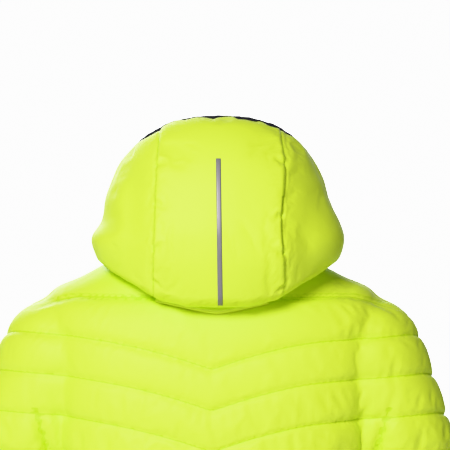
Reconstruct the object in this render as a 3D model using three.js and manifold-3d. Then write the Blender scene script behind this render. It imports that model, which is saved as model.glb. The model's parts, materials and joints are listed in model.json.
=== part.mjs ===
// Ski jacket, filled out as when worn: padded shell, lining, collar, hood, sleeves, cuffs, zips and trim.
// Millimetres, +Z up. The origin is the centre of the neck opening at the height of the side neck points,
// the front of the jacket faces -Y, and the wearer's left side is +X.
import * as THREE from "three";
import { mergeVertices } from "three/addons/utils/BufferGeometryUtils.js";
import Module from "manifold-3d";

const wasm = await Module();
wasm.setup();

// ---------------------------------------------------------------- driving dimensions

const GAP = 0.3; // between pieces that touch
const BODY_LENGTH = 740; // side neck point to hem
const CHEST_HALF_WIDTH = 192; // at the armpit
const WAIST_HALF_WIDTH = 186;
const HEM_HALF_WIDTH = 200;
const SHOULDER_HALF_WIDTH = 206; // where the shoulder slope ends
const SHOULDER_DROP = 72;
const ARMPIT_DEPTH = 330;
const BACK_DEPTH = 137; // behind the origin, at the armpit
const NECK_HALF_WIDTH = 72;
const NECK_BACK = [68, 12]; // y and z of the neckline at the centre back
const NECK_FRONT_DROP = 55;
const FRONT_NECK_DEPTH = 87; // of the front zip's line at the origin's height
const FRONT_SLOPE = 0.0744; // forward lean of the zip's line, per mm of height
const SHELL = 6; // face fabric with its padding
const WADDING_SPACE = 4; // air between padding and lining
const LINING = 1.5;

const COLLAR_HEIGHT = 74;
const COLLAR_WALL = 5;

const ARM_HEAD = [188, 2, -152]; // centre of the sleeve's rounded head
const ARM_HEAD_RADIUS = 80;
const ELBOW = [282, -14, -430];
const ELBOW_RADIUS = 64;
const WRIST = [318, -95, -685];
const WRIST_RADIUS = 46;
const CUFF_LENGTH = 46;
const GAITER_LENGTH = 70;

const HOOD_HALF_WIDTH = 157;
const HOOD_TOP = 155;
const HOOD_BACK = 180; // how far the hood stands out behind the origin
const HOOD_SHELL = 4;
const HOOD_LINING = 1.5;
const HOOD_SEAM = 76; // the two seams beside the centre panel, from the middle
const STRIP_WIDTH = 6.5;
const STRIP_THICKNESS = 0.6;
const STRIP_ENDS = [-80, 104]; // lowest and highest point of the reflective strip
const HOOD_CLEARANCE = 1.5; // over the shoulders and the back
const RIM_WIDTH = 8; // of the band round the face opening

const CHAIN_WIDTH = 6; // zip teeth, both sides together
const TAPE_WIDTH = 14; // each side of a zip, beside the teeth
const TAPE = 1;
const CHAIN_DEPTH = 2.4; // of the teeth
const ZIP_OPENING = 15; // between the two front panels
const STORM_FLAP = 2;
const STORM_FLAP_WIDTH = 44;
const PULLER_LENGTH = 40;
const POCKET_PULLER_LENGTH = 28;
const HAND_POCKET_LENGTH = 165;
const CHEST_POCKET_LENGTH = 130;
const PASS_POCKET_LENGTH = 90;
const POCKET_ZIP_WIDTH = 14;
const POCKET_BAG = 1.2;
const HEM_BAND = 30;
const SKIRT_HEIGHT = 95;
const SKIRT_WALL = 1.5;

const AROUND = 24; // steps round the body
const ARM_AROUND = 12;
const HOOD_AROUND = 24;

// ---------------------------------------------------------------- materials

const fabric = (color, roughness = 0.8, metalness = 0) =>
  new THREE.MeshStandardMaterial({ color, roughness, metalness });
const NEON = fabric(0xdcf25a, 0.72);
const DARK = fabric(0x23262e, 0.85);
const MESH_LINING = fabric(0x33363f, 0.9);
const STRETCH = fabric(0x1f2126, 0.9);
const REFLECTIVE = fabric(0x9a9a9c, 0.35, 0.4);
const PLASTIC = fabric(0x26292f, 0.5);
const METAL = fabric(0x6d7076, 0.35, 0.9);

// ---------------------------------------------------------------- solids from geometry

const group = new THREE.Group();
group.name = "ski_jacket";

// A closed three.js geometry as a manifold-3d solid.
function solid(geometry) {
  const plain = geometry.index ? geometry.toNonIndexed() : geometry.clone();
  plain.deleteAttribute("normal");
  plain.deleteAttribute("uv");
  const merged = mergeVertices(plain, 1e-3);
  return new wasm.Manifold(
    new wasm.Mesh({
      numProp: 3,
      vertProperties: new Float32Array(merged.attributes.position.array),
      triVerts: new Uint32Array(merged.index.array),
    }),
  );
}

// A manifold-3d solid as a three.js geometry.
function geometryOf(made) {
  const mesh = made.getMesh();
  const position = new Float32Array(mesh.numVert * 3);
  for (let i = 0; i < mesh.numVert; i++)
    position.set(mesh.vertProperties.subarray(i * mesh.numProp, i * mesh.numProp + 3), i * 3);
  const geometry = new THREE.BufferGeometry();
  geometry.setAttribute("position", new THREE.BufferAttribute(position, 3));
  geometry.setIndex(new THREE.BufferAttribute(mesh.triVerts, 1));
  return geometry;
}

// The one body of a cut that holds nearly all of it; thin crumbs beside it go.
function keepLargest(made) {
  const bodies = solid(geometryOf(made)).decompose();
  return bodies.sort((a, b) => b.volume() - a.volume())[0];
}

// A manifold-3d solid as a named mesh, added to the given parent.
function addPiece(name, made, material, parent = group) {
  const geometry = geometryOf(made);
  geometry.computeVertexNormals();
  const piece = new THREE.Mesh(geometry, material);
  piece.name = name;
  parent.add(piece);
  return piece;
}

// Closed skin over rings of equal length, with a fan at each end. Each ring is a list of Vector3.
function loftGeometry(rings) {
  const count = rings[0].length;
  const position = [];
  const index = [];
  rings.forEach((ring) => ring.forEach((p) => position.push(p.x, p.y, p.z)));
  for (let r = 0; r + 1 < rings.length; r++) {
    for (let i = 0; i < count; i++) {
      const a = r * count + i;
      const b = r * count + ((i + 1) % count);
      index.push(a, b, b + count, a, b + count, a + count);
    }
  }
  [0, rings.length - 1].forEach((r) => {
    const centre = position.length / 3;
    const middle = rings[r].reduce((sum, p) => sum.add(p), new THREE.Vector3()).divideScalar(count);
    position.push(middle.x, middle.y, middle.z);
    for (let i = 0; i < count; i++) {
      const a = r * count + i;
      const b = r * count + ((i + 1) % count);
      if (r === 0) index.push(centre, b, a);
      else index.push(centre, a, b);
    }
  });
  const geometry = new THREE.BufferGeometry();
  geometry.setAttribute("position", new THREE.Float32BufferAttribute(position, 3));
  geometry.setIndex(index);
  return geometry;
}

function loft(rings) {
  const made = solid(loftGeometry(rings));
  return made.volume() > 0 ? made : solid(loftGeometry(rings.slice().reverse()));
}

const moved = (geometry, x, y, z) => geometry.translate(x, y, z);
const box = (w, d, h, x = 0, y = 0, z = 0) => solid(moved(new THREE.BoxGeometry(w, d, h), x, y, z));

// A prism through the whole jacket over a polygon: "xz" is seen from the front, "yz" from the side.
function prism(points, plane, from = -500, to = 500) {
  const shape = new THREE.Shape(points.map(([a, b]) => new THREE.Vector2(a, b)));
  const geometry = new THREE.ExtrudeGeometry(shape, { depth: to - from, bevelEnabled: false });
  const basis = new THREE.Matrix4();
  if (plane === "xz") {
    const [across, up, along] = [[1, 0, 0], [0, 0, 1], [0, -1, 0]].map((v) => new THREE.Vector3(...v));
    basis.makeBasis(across, up, along).setPosition(0, -from, 0);
  } else {
    const [across, up, along] = [[0, 1, 0], [0, 0, 1], [1, 0, 0]].map((v) => new THREE.Vector3(...v));
    basis.makeBasis(across, up, along).setPosition(from, 0, 0);
  }
  return solid(geometry.applyMatrix4(basis));
}

const both = (make) => [1, -1].forEach((side) => make(side, side > 0 ? "left" : "right"));

// ---------------------------------------------------------------- the body's surface

const zipY = (z) => -FRONT_NECK_DEPTH + FRONT_SLOPE * z;
const FAR = 500; // past every outside face

// Meridians of the body at the side (x, z), centre back (y, z) and centre front (y, z), neck first.
const slope = (share) => [
  THREE.MathUtils.lerp(NECK_HALF_WIDTH, SHOULDER_HALF_WIDTH, share),
  -SHOULDER_DROP * share,
];
const WAIST_Z = -0.608 * BODY_LENGTH;
const HIP_Z = -0.81 * BODY_LENGTH;
const BODY_ROWS = {
  side: [
    slope(0), slope(0.3), slope(0.66), slope(1),
    [SHOULDER_HALF_WIDTH + 11, -SHOULDER_DROP - 53],
    [CHEST_HALF_WIDTH, -ARMPIT_DEPTH],
    [WAIST_HALF_WIDTH, WAIST_Z],
    [(WAIST_HALF_WIDTH + HEM_HALF_WIDTH) / 2 + 1, HIP_Z],
    [HEM_HALF_WIDTH, -BODY_LENGTH],
  ],
  back: [
    NECK_BACK, [BACK_DEPTH - 42, -28], [BACK_DEPTH - 17, -78], [BACK_DEPTH - 3, -130],
    [BACK_DEPTH + 4, -190],
    [BACK_DEPTH, -ARMPIT_DEPTH],
    [BACK_DEPTH - 21, WAIST_Z],
    [BACK_DEPTH - 13, HIP_Z],
    [BACK_DEPTH - 7, -BODY_LENGTH],
  ],
  front: [-NECK_FRONT_DROP, -88, -125, -165, -215, -ARMPIT_DEPTH, WAIST_Z, HIP_Z, -BODY_LENGTH].map(
    (z) => [zipY(z), z],
  ),
};

// A meridian as a function of its share from 0 to 1, moved inwards, and run straight on past both ends.
function meridian(points, inward, side) {
  const through = points.map(([a, z]) => new THREE.Vector3(a, z, 0));
  const curve = new THREE.CatmullRomCurve3(through, false, "centripetal");
  return (share) => {
    const at = Math.min(1, Math.max(0, share));
    const p = curve.getPoint(at);
    const t = curve.getTangent(at);
    const q = new THREE.Vector2(p.x + side * inward * t.y, p.y - side * inward * t.x);
    if (share < 0) q.y += -share * 400;
    if (share > 1) q.y -= (share - 1) * 400;
    return q;
  };
}

// The body's outer surface moved inwards by inset, over share (neck to hem) and angle (0 at the back).
function bodySurface(inset) {
  const side = meridian(BODY_ROWS.side, inset, 1);
  const back = meridian(BODY_ROWS.back, inset, 1);
  const front = meridian(BODY_ROWS.front, inset, -1);
  return (share, angle) => {
    const s = Math.sin(angle);
    const c = Math.cos(angle);
    const squareness = THREE.MathUtils.lerp(2.1, 2.5, Math.min(1, Math.max(0, share) * 3));
    const end = (c > 0 ? back : front)(share);
    const flank = side(share);
    const reach = Math.abs(c) ** (2 / squareness);
    return new THREE.Vector3(
      Math.sign(s) * Math.abs(s) ** (2 / squareness) * flank.x,
      end.x * reach,
      THREE.MathUtils.lerp(flank.y, end.y, c * c),
    );
  };
}

const BODY_SHARES = [0, 0.1, 0.2, 0.3, 0.38, 0.5, 0.64, 0.8, 1];

function bodySolid(inset, around, { above = 0, below = 0 } = {}) {
  const surface = bodySurface(inset);
  const rows = [...(above ? [-above] : []), ...BODY_SHARES, ...(below ? [1 + below] : [])];
  return loft(
    rows.map((share) =>
      Array.from({ length: around }, (_, i) => surface(share, (2 * Math.PI * i) / around)),
    ),
  );
}

// ---------------------------------------------------------------- the sleeves' surface

// The arm's centreline from the sleeve's head to the wrist, for the left side.
const ARM_POINTS = [
  ARM_HEAD,
  [ARM_HEAD[0] + 34, 0, ARM_HEAD[2] - 88],
  [ARM_HEAD[0] + 66, -4, ARM_HEAD[2] - 178],
  ELBOW,
  [ELBOW[0] + 22, ELBOW[1] - 34, ELBOW[2] - 120],
  WRIST,
].map((p) => new THREE.Vector3(...p));
const ARM_CURVE = new THREE.CatmullRomCurve3(ARM_POINTS, false, "centripetal");
const ARM_RADII = [ARM_HEAD_RADIUS, ARM_HEAD_RADIUS - 5, 69, ELBOW_RADIUS, 56, WRIST_RADIUS];

function armRadius(share) {
  const place = Math.min(Math.max(share, 0), 1) * (ARM_RADII.length - 1);
  const i = Math.min(Math.floor(place), ARM_RADII.length - 2);
  return THREE.MathUtils.lerp(ARM_RADII[i], ARM_RADII[i + 1], place - i);
}

// Origin and axes of the left arm's section: out is away from the body, along points to the wrist.
function armFrame(share) {
  const along = ARM_CURVE.getTangent(Math.min(share, 1));
  const centre = ARM_CURVE.getPoint(Math.min(share, 1));
  const ahead = new THREE.Vector3(0, -1, 0);
  const out = new THREE.Vector3().crossVectors(ahead, along).normalize();
  if (out.x < 0) out.negate();
  const front = new THREE.Vector3().crossVectors(along, out).normalize();
  if (front.y > 0) front.negate();
  if (share > 1) centre.addScaledVector(along, (share - 1) * ARM_CURVE.getLength());
  return { centre, along, out, front };
}

function armRing(share, radius, around) {
  const { centre, out, front } = armFrame(share);
  return Array.from({ length: around }, (_, i) => {
    const a = (2 * Math.PI * i) / around;
    const sideways = centre.clone().addScaledVector(out, radius * Math.cos(a));
    return sideways.addScaledVector(front, radius * Math.sin(a));
  });
}

const ARM_SHARES = [0, 0.2, 0.4, 0.6, 0.8, 1];

// A sleeve's tube with its rounded head, moved inwards by inset, for one side.
function armSolid(inset, around, side, { past = 0 } = {}) {
  const rings = [...ARM_SHARES, ...(past ? [1 + past] : [])].map((share) =>
    armRing(share, armRadius(share) - inset, around),
  );
  const head = new THREE.SphereGeometry(ARM_HEAD_RADIUS - inset - 0.05, around, around / 2);
  head.rotateX(Math.PI / 2).translate(...ARM_HEAD);
  const left = loft(rings).add(solid(head));
  return side > 0 ? left : mirrored(left);
}

// The mirror image of a solid across the plane x = 0.
function mirrored(made) {
  const mesh = made.getMesh();
  const vertProperties = mesh.vertProperties.map((v, i) => (i % mesh.numProp === 0 ? -v : v));
  const triVerts = mesh.triVerts.slice();
  for (let i = 0; i < triVerts.length; i += 3)
    [triVerts[i + 1], triVerts[i + 2]] = [triVerts[i + 2], triVerts[i + 1]];
  return new wasm.Manifold(new wasm.Mesh({ numProp: mesh.numProp, vertProperties, triVerts }));
}

// ---------------------------------------------------------------- regions that part the panels

// Seen from the front: the armhole runs from the shoulder down to the armpit, then between arm and side.
const ARMPIT_X = CHEST_HALF_WIDTH + 4;
const armhole = (shift) => [
  [SHOULDER_HALF_WIDTH + 42 + shift, 60],
  [SHOULDER_HALF_WIDTH + 40 + shift, -SHOULDER_DROP - 22],
  [SHOULDER_HALF_WIDTH + 22 + shift, -0.52 * ARMPIT_DEPTH],
  [ARMPIT_X + 6 + shift, -0.8 * ARMPIT_DEPTH],
  [ARMPIT_X + shift, -ARMPIT_DEPTH - 6],
  [ARMPIT_X + 10 + shift, -ARMPIT_DEPTH - 60],
  [ARMPIT_X + 14 + shift, -BODY_LENGTH - 80],
];
const sleeveSide = (side) => {
  const left = prism([...armhole(GAP / 2), [FAR, -BODY_LENGTH - 80], [FAR, 60]], "xz");
  return side > 0 ? left : mirrored(left);
};
const bodySide = () => {
  const edge = armhole(-GAP / 2);
  return prism([...edge, ...edge.map(([x, z]) => [-x, z]).reverse()], "xz");
};

// The yoke's seam, seen from the back and from the front.
const YOKE_BACK = -72;
const YOKE_FRONT = -112;
const yokeLine = (level, shift) => {
  const end = SHOULDER_HALF_WIDTH + 60;
  const half = [[0, level - 4], [80, level - 1], [160, level], [200, level - 6], [end, level - 34]];
  const right = half.slice(1).reverse().map(([x, z]) => [-x, z + shift]);
  return [...right, ...half.map(([x, z]) => [x, z + shift])];
};
const SIDE_SEAM = 5; // y of the side seams
const above = (level, from, to) =>
  prism([...yokeLine(level, GAP / 2), [FAR, 200], [-FAR, 200]], "xz", from, to);
const below = (level, from, to) =>
  prism([...yokeLine(level, -GAP / 2), [FAR, -FAR * 2], [-FAR, -FAR * 2]], "xz", from, to);
const behindSeam = (z0, z1) => box(2 * FAR, FAR, z1 - z0, 0, SIDE_SEAM + GAP / 2 + FAR / 2, (z0 + z1) / 2);
const beforeSeam = (z0, z1) => box(2 * FAR, FAR, z1 - z0, 0, SIDE_SEAM - GAP / 2 - FAR / 2, (z0 + z1) / 2);
const halfOf = (side, from) => box(FAR, 2 * FAR, 4 * FAR, side * (from + FAR / 2), 0, 0);
const HEM_TOP = -BODY_LENGTH + HEM_BAND;

// ---------------------------------------------------------------- frames on surfaces

// A group whose x is across, y runs up towards the zip's closed end and z points out of the jacket.
function frameAt(origin, up, out) {
  const y = up.clone().normalize();
  const z = out.clone().addScaledVector(y, -out.dot(y)).normalize();
  const x = new THREE.Vector3().crossVectors(y, z);
  const frame = new THREE.Group();
  frame.quaternion.setFromRotationMatrix(new THREE.Matrix4().makeBasis(x, y, z));
  frame.position.copy(origin);
  frame.updateMatrix();
  group.add(frame);
  return frame;
}

// A solid made in a frame's own axes, taken to the jacket's axes.
function inJacket(geometry, frame) {
  return solid(geometry.applyMatrix4(frame.matrix));
}

// ---------------------------------------------------------------- zips

const SLIDER = { width: 10, length: 12, thickness: 4.4, lug: 1.4, lugHeight: 3.2, pin: 1, hole: 1.4 };

// A slider with two lugs, and a puller whose pin turns in them. The puller hangs down the zip.
function addSlider(prefix, frame, at, pullerLength, surface) {
  const s = SLIDER;
  const place = new THREE.Group();
  place.position.set(0, at, surface);
  frame.add(place);
  const lugX = 2.6;
  const pinZ = s.thickness + s.lugHeight - s.hole - 0.6;
  const body = new THREE.BoxGeometry(s.width, s.length, s.thickness).translate(0, 0, s.thickness / 2);
  let slider = solid(body);
  [-1, 1].forEach((k) => {
    const lug = new THREE.BoxGeometry(s.lug, 6, s.lugHeight + 1);
    slider = slider.add(solid(lug.translate(k * lugX, 0, s.thickness + (s.lugHeight - 1) / 2)));
  });
  const hole = new THREE.CylinderGeometry(s.hole, s.hole, s.width, 12).rotateZ(Math.PI / 2);
  slider = slider.subtract(solid(hole.translate(0, 0, pinZ)));
  addPiece(`${prefix}_slider`, slider, METAL, place);

  const pin = new THREE.CylinderGeometry(s.pin, s.pin, 2 * lugX + s.lug + 1.6, 10).rotateZ(Math.PI / 2);
  const neck = new THREE.BoxGeometry(2.6, 9, 1.6).translate(0, -4, 0);
  const tab = new THREE.Shape();
  tab.moveTo(-2.4, -7.5);
  tab.lineTo(2.4, -7.5);
  tab.lineTo(4.4, -11);
  tab.lineTo(3.8, -pullerLength + 3);
  tab.absarc(0, -pullerLength + 3, 3.8, 0, -Math.PI, true);
  tab.lineTo(-4.4, -11);
  const grip = new THREE.ExtrudeGeometry(tab, { depth: 2.2, bevelEnabled: false, curveSegments: 6 });
  const puller = solid(pin).add(solid(neck)).add(solid(grip.translate(0, 0, -1.1)));
  const swing = new THREE.Group();
  swing.position.set(0, 0, pinZ);
  place.add(swing);
  addPiece(`${prefix}_puller`, puller, PLASTIC, swing);
}

const cutters = []; // room for zips and pockets, taken out of shell and lining

// A pocket's zip in its slot: tape with teeth as one strip, slider and puller.
function addPocketZip(prefix, top, bottom, out, length) {
  const middle = top.clone().add(bottom).multiplyScalar(0.5);
  const frame = frameAt(middle, top.clone().sub(bottom), out);
  const half = length / 2;
  const strip = new THREE.BoxGeometry(POCKET_ZIP_WIDTH, length, 2.4).translate(0, 0, -0.4);
  const chain = new THREE.BoxGeometry(CHAIN_WIDTH - 1, length - 8, 1.4).translate(0, 0, 1);
  addPiece(`${prefix}_zip`, solid(strip).add(solid(chain)), DARK, frame);
  addSlider(prefix, frame, half - SLIDER.length / 2 - 4, POCKET_PULLER_LENGTH, 1.7 + GAP);
  const slot = new THREE.BoxGeometry(POCKET_ZIP_WIDTH + 2 * GAP, length + 2 * GAP, 60);
  cutters.push(inJacket(slot.translate(0, 0, 30 - 1.6 - GAP), frame));
  return frame;
}

// ---------------------------------------------------------------- build: body, yoke and sleeves

const liningInset = SHELL + WADDING_SPACE;

// Everything inside a skin at this inset, with both sleeves, open or closed at neck, hem and wrists.
function wholeJacket(inset, around, armAround, open) {
  const ends = open ? { above: 0.2, below: 0.2 } : {};
  let made = bodySolid(inset, around, ends);
  [1, -1].forEach((side) => {
    made = made.add(armSolid(inset, armAround, side, open ? { past: 0.1 } : {}));
  });
  return made;
}

const outside = wholeJacket(0, AROUND, ARM_AROUND, false);
const shellSkin = outside.subtract(wholeJacket(SHELL, AROUND, ARM_AROUND, true));

// Room for the main zip: a channel down the front, through the shell, and wider in the lining.
const zipUp = new THREE.Vector3(0, FRONT_SLOPE, 1).normalize();
const zipOut = new THREE.Vector3(0, -1, FRONT_SLOPE).normalize();
const zipTopZ = 26;
const zipFrame = frameAt(new THREE.Vector3(0, zipY(zipTopZ), zipTopZ), zipUp, zipOut);
const zipLength = (zipTopZ + BODY_LENGTH - 4) / zipUp.z;
const tapeDepth = 2.4; // of the tape's outer face behind the front panels' outer face
const channel = (width, near, far) =>
  inJacket(new THREE.BoxGeometry(width, 4 * FAR, far - near).translate(0, 0, -(near + far) / 2), zipFrame);
const tapeReach = CHAIN_WIDTH / 2 + TAPE_WIDTH;
const shellChannel = channel(ZIP_OPENING, -60, 60)
  .add(channel(2 * (tapeReach + GAP), tapeDepth - GAP, 60))
  .add(channel(STORM_FLAP_WIDTH + 2 * GAP, SHELL + GAP, 60));
const liningChannel = channel(STORM_FLAP_WIDTH + 2 * GAP, -60, 60);

// Pocket places on the body's surface, on the left side, as share and angle of the body's surface.
const outer = bodySurface(0);
const surfaceFrame = (share, angle) => {
  const p = outer(share, angle);
  const along = outer(share + 0.01, angle).sub(outer(share - 0.01, angle));
  const around = outer(share, angle + 0.02).sub(outer(share, angle - 0.02));
  const out = new THREE.Vector3().crossVectors(around, along).normalize();
  if (out.y > 0) out.negate();
  return { p, out };
};
const flip = (v, side) => new THREE.Vector3(side * v.x, v.y, v.z);

// A straight zip centred on a place on the body, leaning outwards towards its lower end.
function bodyPocket(prefix, side, share, angle, lean, length) {
  const { p, out } = surfaceFrame(share, angle);
  const o = flip(out, side);
  const up = new THREE.Vector3(-side * Math.sin(lean), 0, Math.cos(lean));
  up.addScaledVector(o, -up.dot(o)).normalize();
  const middle = flip(p, side).addScaledVector(o, 0.6);
  const top = middle.clone().addScaledVector(up, length / 2);
  const bottom = middle.clone().addScaledVector(up, -length / 2);
  return addPocketZip(prefix, top, bottom, o, length);
}
both((side, name) => bodyPocket(`hand_pocket_${name}`, side, 0.8, Math.PI * 0.79, 0.3, HAND_POCKET_LENGTH));
bodyPocket("chest_pocket", 1, 0.585, Math.PI * 0.86, 0.06, CHEST_POCKET_LENGTH);

// The lift-pass pocket on the outside of the left forearm.
{
  const { centre, along, out, front } = armFrame(0.78);
  const o = out.clone().multiplyScalar(0.75).addScaledVector(front, 0.66).normalize();
  const middle = centre.clone().addScaledVector(o, armRadius(0.78) + 0.8);
  const half = along.clone().multiplyScalar(-PASS_POCKET_LENGTH / 2);
  addPocketZip("pass_pocket", middle.clone().add(half), middle.clone().sub(half), o, PASS_POCKET_LENGTH);
}

const cutAll = (made, list) => list.reduce((left, cutter) => left.subtract(cutter), made);
const cutShell = cutAll(shellSkin, [shellChannel, ...cutters]);
const bodyShell = cutShell.intersect(bodySide());
const yokeBack = bodyShell.intersect(above(YOKE_BACK, -SIDE_SEAM - FAR, -SIDE_SEAM));

// Panels of the body, each parted from the next by a gap.
addPiece("back_yoke", keepLargest(yokeBack.intersect(behindSeam(-FAR, FAR))), NEON);
addPiece(
  "back_panel",
  keepLargest(
    bodyShell
      .intersect(below(YOKE_BACK, -FAR, -SIDE_SEAM))
      .intersect(behindSeam(HEM_TOP + GAP, FAR)),
  ),
  NEON,
);
both((side, name) => {
  const half = bodyShell.intersect(halfOf(side, 0)).intersect(beforeSeam(-2 * FAR, FAR));
  addPiece(`front_yoke_${name}`, keepLargest(half.intersect(above(YOKE_FRONT, -SIDE_SEAM, FAR))), NEON);
  addPiece(
    `front_panel_${name}`,
    keepLargest(half.intersect(below(YOKE_FRONT, -SIDE_SEAM, FAR)).intersect(beforeSeam(HEM_TOP + GAP, FAR))),
    NEON,
  );
});
addPiece(
  "hem_band",
  keepLargest(bodyShell.intersect(box(2 * FAR, 2 * FAR, HEM_BAND + 20, 0, 0, HEM_TOP - (HEM_BAND + 20) / 2))),
  NEON,
);

// Sleeve: upper part, forearm with its cuff end, and cuff, parted by planes across the arm.
const ELBOW_SHARE = 0.56;
const CUFF_SHARE = 1 - CUFF_LENGTH / ARM_CURVE.getLength();

// A half-space beyond a section of the arm: with direction 1 towards the wrist, -1 towards the shoulder.
function armCut(share, direction, side, shift) {
  const { centre, along, out, front } = armFrame(share);
  const geometry = new THREE.BoxGeometry(2 * FAR, 2 * FAR, 2 * FAR);
  geometry.translate(0, 0, direction * (FAR + shift));
  const across = new THREE.Vector3().crossVectors(along, out);
  geometry.applyMatrix4(new THREE.Matrix4().makeBasis(out, across, along));
  geometry.translate(centre.x, centre.y, centre.z);
  const made = solid(geometry);
  return side > 0 ? made : mirrored(made);
}

both((side, name) => {
  const sleeve = cutShell.intersect(sleeveSide(side));
  const upper = sleeve.intersect(armCut(ELBOW_SHARE, -1, side, GAP / 2));
  addPiece(`sleeve_upper_${name}`, keepLargest(upper), NEON);
  const belowElbow = sleeve.intersect(armCut(ELBOW_SHARE, 1, side, GAP / 2));
  const fore = belowElbow.intersect(armCut(CUFF_SHARE, -1, side, GAP / 2));
  addPiece(`sleeve_lower_${name}`, keepLargest(fore), NEON);
  const cuff = sleeve.intersect(armCut(CUFF_SHARE, 1, side, GAP / 2));
  addPiece(`cuff_${name}`, keepLargest(cuff), NEON);
});

// ---------------------------------------------------------------- build: lining

const LINING_END = -BODY_LENGTH + 12;
const liningSkin = outside
  .intersect(wholeJacket(liningInset, AROUND, ARM_AROUND, true))
  .subtract(wholeJacket(liningInset + LINING, AROUND, ARM_AROUND, true))
  .subtract(liningChannel)
  .intersect(box(2 * FAR, 2 * FAR, BODY_LENGTH * 2, 0, 0, LINING_END + BODY_LENGTH));
const bodyLining = liningSkin.intersect(bodySide());
addPiece("body_lining_back", keepLargest(bodyLining.intersect(behindSeam(-2 * FAR, FAR))), MESH_LINING);
both((side, name) => {
  const half = bodyLining.intersect(halfOf(side, 0)).intersect(beforeSeam(-2 * FAR, FAR));
  addPiece(`body_lining_${name}`, keepLargest(half), MESH_LINING);
  const liningEnd = 1 - 6 / ARM_CURVE.getLength();
  const sleeve = liningSkin.intersect(sleeveSide(side)).intersect(armCut(liningEnd, -1, side, 0));
  addPiece(`sleeve_lining_${name}`, keepLargest(sleeve), MESH_LINING);
});

// ---------------------------------------------------------------- build: pocket bags

// A bag lies between the shell and the lining, behind its zip.
const bagInside = bodySolid(SHELL + GAP + POCKET_BAG, AROUND, { above: 0.1, below: 0.1 });
const bagSpace = bodySolid(SHELL + GAP, AROUND).subtract(bagInside);
const frontOnly = (outline) => prism(outline, "xz", 20, FAR);
both((side, name) => {
  const bag = [[44, -560], [128, -560], [150, -690], [44, -690]].map(([x, z]) => [side * x, z]);
  addPiece(`hand_pocket_${name}_bag`, keepLargest(bagSpace.intersect(frontOnly(bag))), DARK);
});
addPiece(
  "chest_pocket_bag",
  keepLargest(bagSpace.intersect(frontOnly([[40, -250], [96, -250], [96, -400], [40, -400]]))),
  DARK,
);

// ---------------------------------------------------------------- build: collar

const COLLAR_BACK = [NECK_BACK[0] - 8, NECK_BACK[1] + COLLAR_HEIGHT - 2];
const COLLAR_SIDE = [NECK_HALF_WIDTH - 6, COLLAR_HEIGHT - 4];
const COLLAR_FRONT_Z = zipTopZ + 2;

// The collar's rings, from the neckline (0) to the top edge (1), moved inwards by inset.
function collarRing(share, inset) {
  const neck = outer(0, 0);
  const mix = (a, b) => THREE.MathUtils.lerp(a, b, share);
  const back = [mix(neck.y, COLLAR_BACK[0]) - inset, mix(neck.z + GAP, COLLAR_BACK[1])];
  const flank = [mix(NECK_HALF_WIDTH, COLLAR_SIDE[0]) - inset, mix(GAP, COLLAR_SIDE[1])];
  const frontZ = mix(-NECK_FRONT_DROP + GAP, COLLAR_FRONT_Z);
  return Array.from({ length: AROUND }, (_, i) => {
    const angle = (2 * Math.PI * i) / AROUND;
    const s = Math.sin(angle);
    const c = Math.cos(angle);
    const reach = Math.abs(c) ** (2 / 2.1);
    const end = c > 0 ? back : [zipY(frontZ) + inset, frontZ];
    const across = Math.sign(s) * Math.abs(s) ** (2 / 2.1) * flank[0];
    return new THREE.Vector3(across, end[0] * reach, THREE.MathUtils.lerp(flank[1], end[1], c * c));
  });
}
const collarSolid = (inset, past = 0) =>
  loft([...(past ? [-past] : [0]), ...(past ? [1 + past] : [1])].map((v) => collarRing(v, inset)));
const collarOutside = collarSolid(0);
const collarShell = collarOutside.subtract(collarSolid(COLLAR_WALL, 0.4)).subtract(shellChannel);
addPiece("collar", keepLargest(collarShell), NEON);
const collarLining = collarOutside
  .intersect(collarSolid(COLLAR_WALL + GAP, 0.4))
  .subtract(collarSolid(COLLAR_WALL + GAP + LINING, 0.4))
  .subtract(liningChannel);
addPiece("collar_lining", keepLargest(collarLining), MESH_LINING);

// Hang loop: a flat band sewn at both ends to the inside of the collar's back.
{
  const [half, height, wall, thick] = [28, 16, 3.5, 1.6];
  const z = 40;
  const share = z / COLLAR_BACK[1];
  const reach = THREE.MathUtils.lerp(NECK_BACK[0], COLLAR_BACK[0], share) - COLLAR_WALL - GAP - LINING;
  const breadth = THREE.MathUtils.lerp(NECK_HALF_WIDTH, COLLAR_SIDE[0], share) - COLLAR_WALL - GAP - LINING;
  const y = reach * (1 - (half / breadth) ** 2.1) ** (1 / 2.1) - 4 * GAP;
  const loop = box(2 * half, thick, height, 0, y - thick / 2, z);
  addPiece("hang_loop", loop.subtract(box(2 * (half - wall), 3 * thick, height - 2 * wall, 0, y, z)), DARK);
}

// ---------------------------------------------------------------- build: hood

const HOOD_MIDDLE = 50; // y of the hood's widest line
const HOOD_LEVELS = [1, 0.935, 0.787, 0.594, 0.303, 0.013, -0.245, -0.452, -0.645].map((v) => v * HOOD_TOP);
const HOOD_ROWS = {
  side: [0.02, 0.414, 0.637, 0.783, 0.911, 1, 0.892, 0.79, 0.73].map((v) => v * HOOD_HALF_WIDTH),
  back: [0.02, 0.42, 0.64, 0.777, 0.923, 1, 0.962, 0.877, 0.77].map(
    (v) => v * (HOOD_BACK - HOOD_MIDDLE),
  ),
  front: [0.02, 0.42, 0.66, 0.813, 0.932, 1, 0.983, 0.932, 0.864].map((v) => v * -118),
};
const hoodPoints = (key) => HOOD_ROWS[key].map((a, i) => [a, HOOD_LEVELS[i]]);
const HOOD_SHARES = [0, 0.08, 0.2, 0.35, 0.5, 0.65, 0.8, 1];

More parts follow.
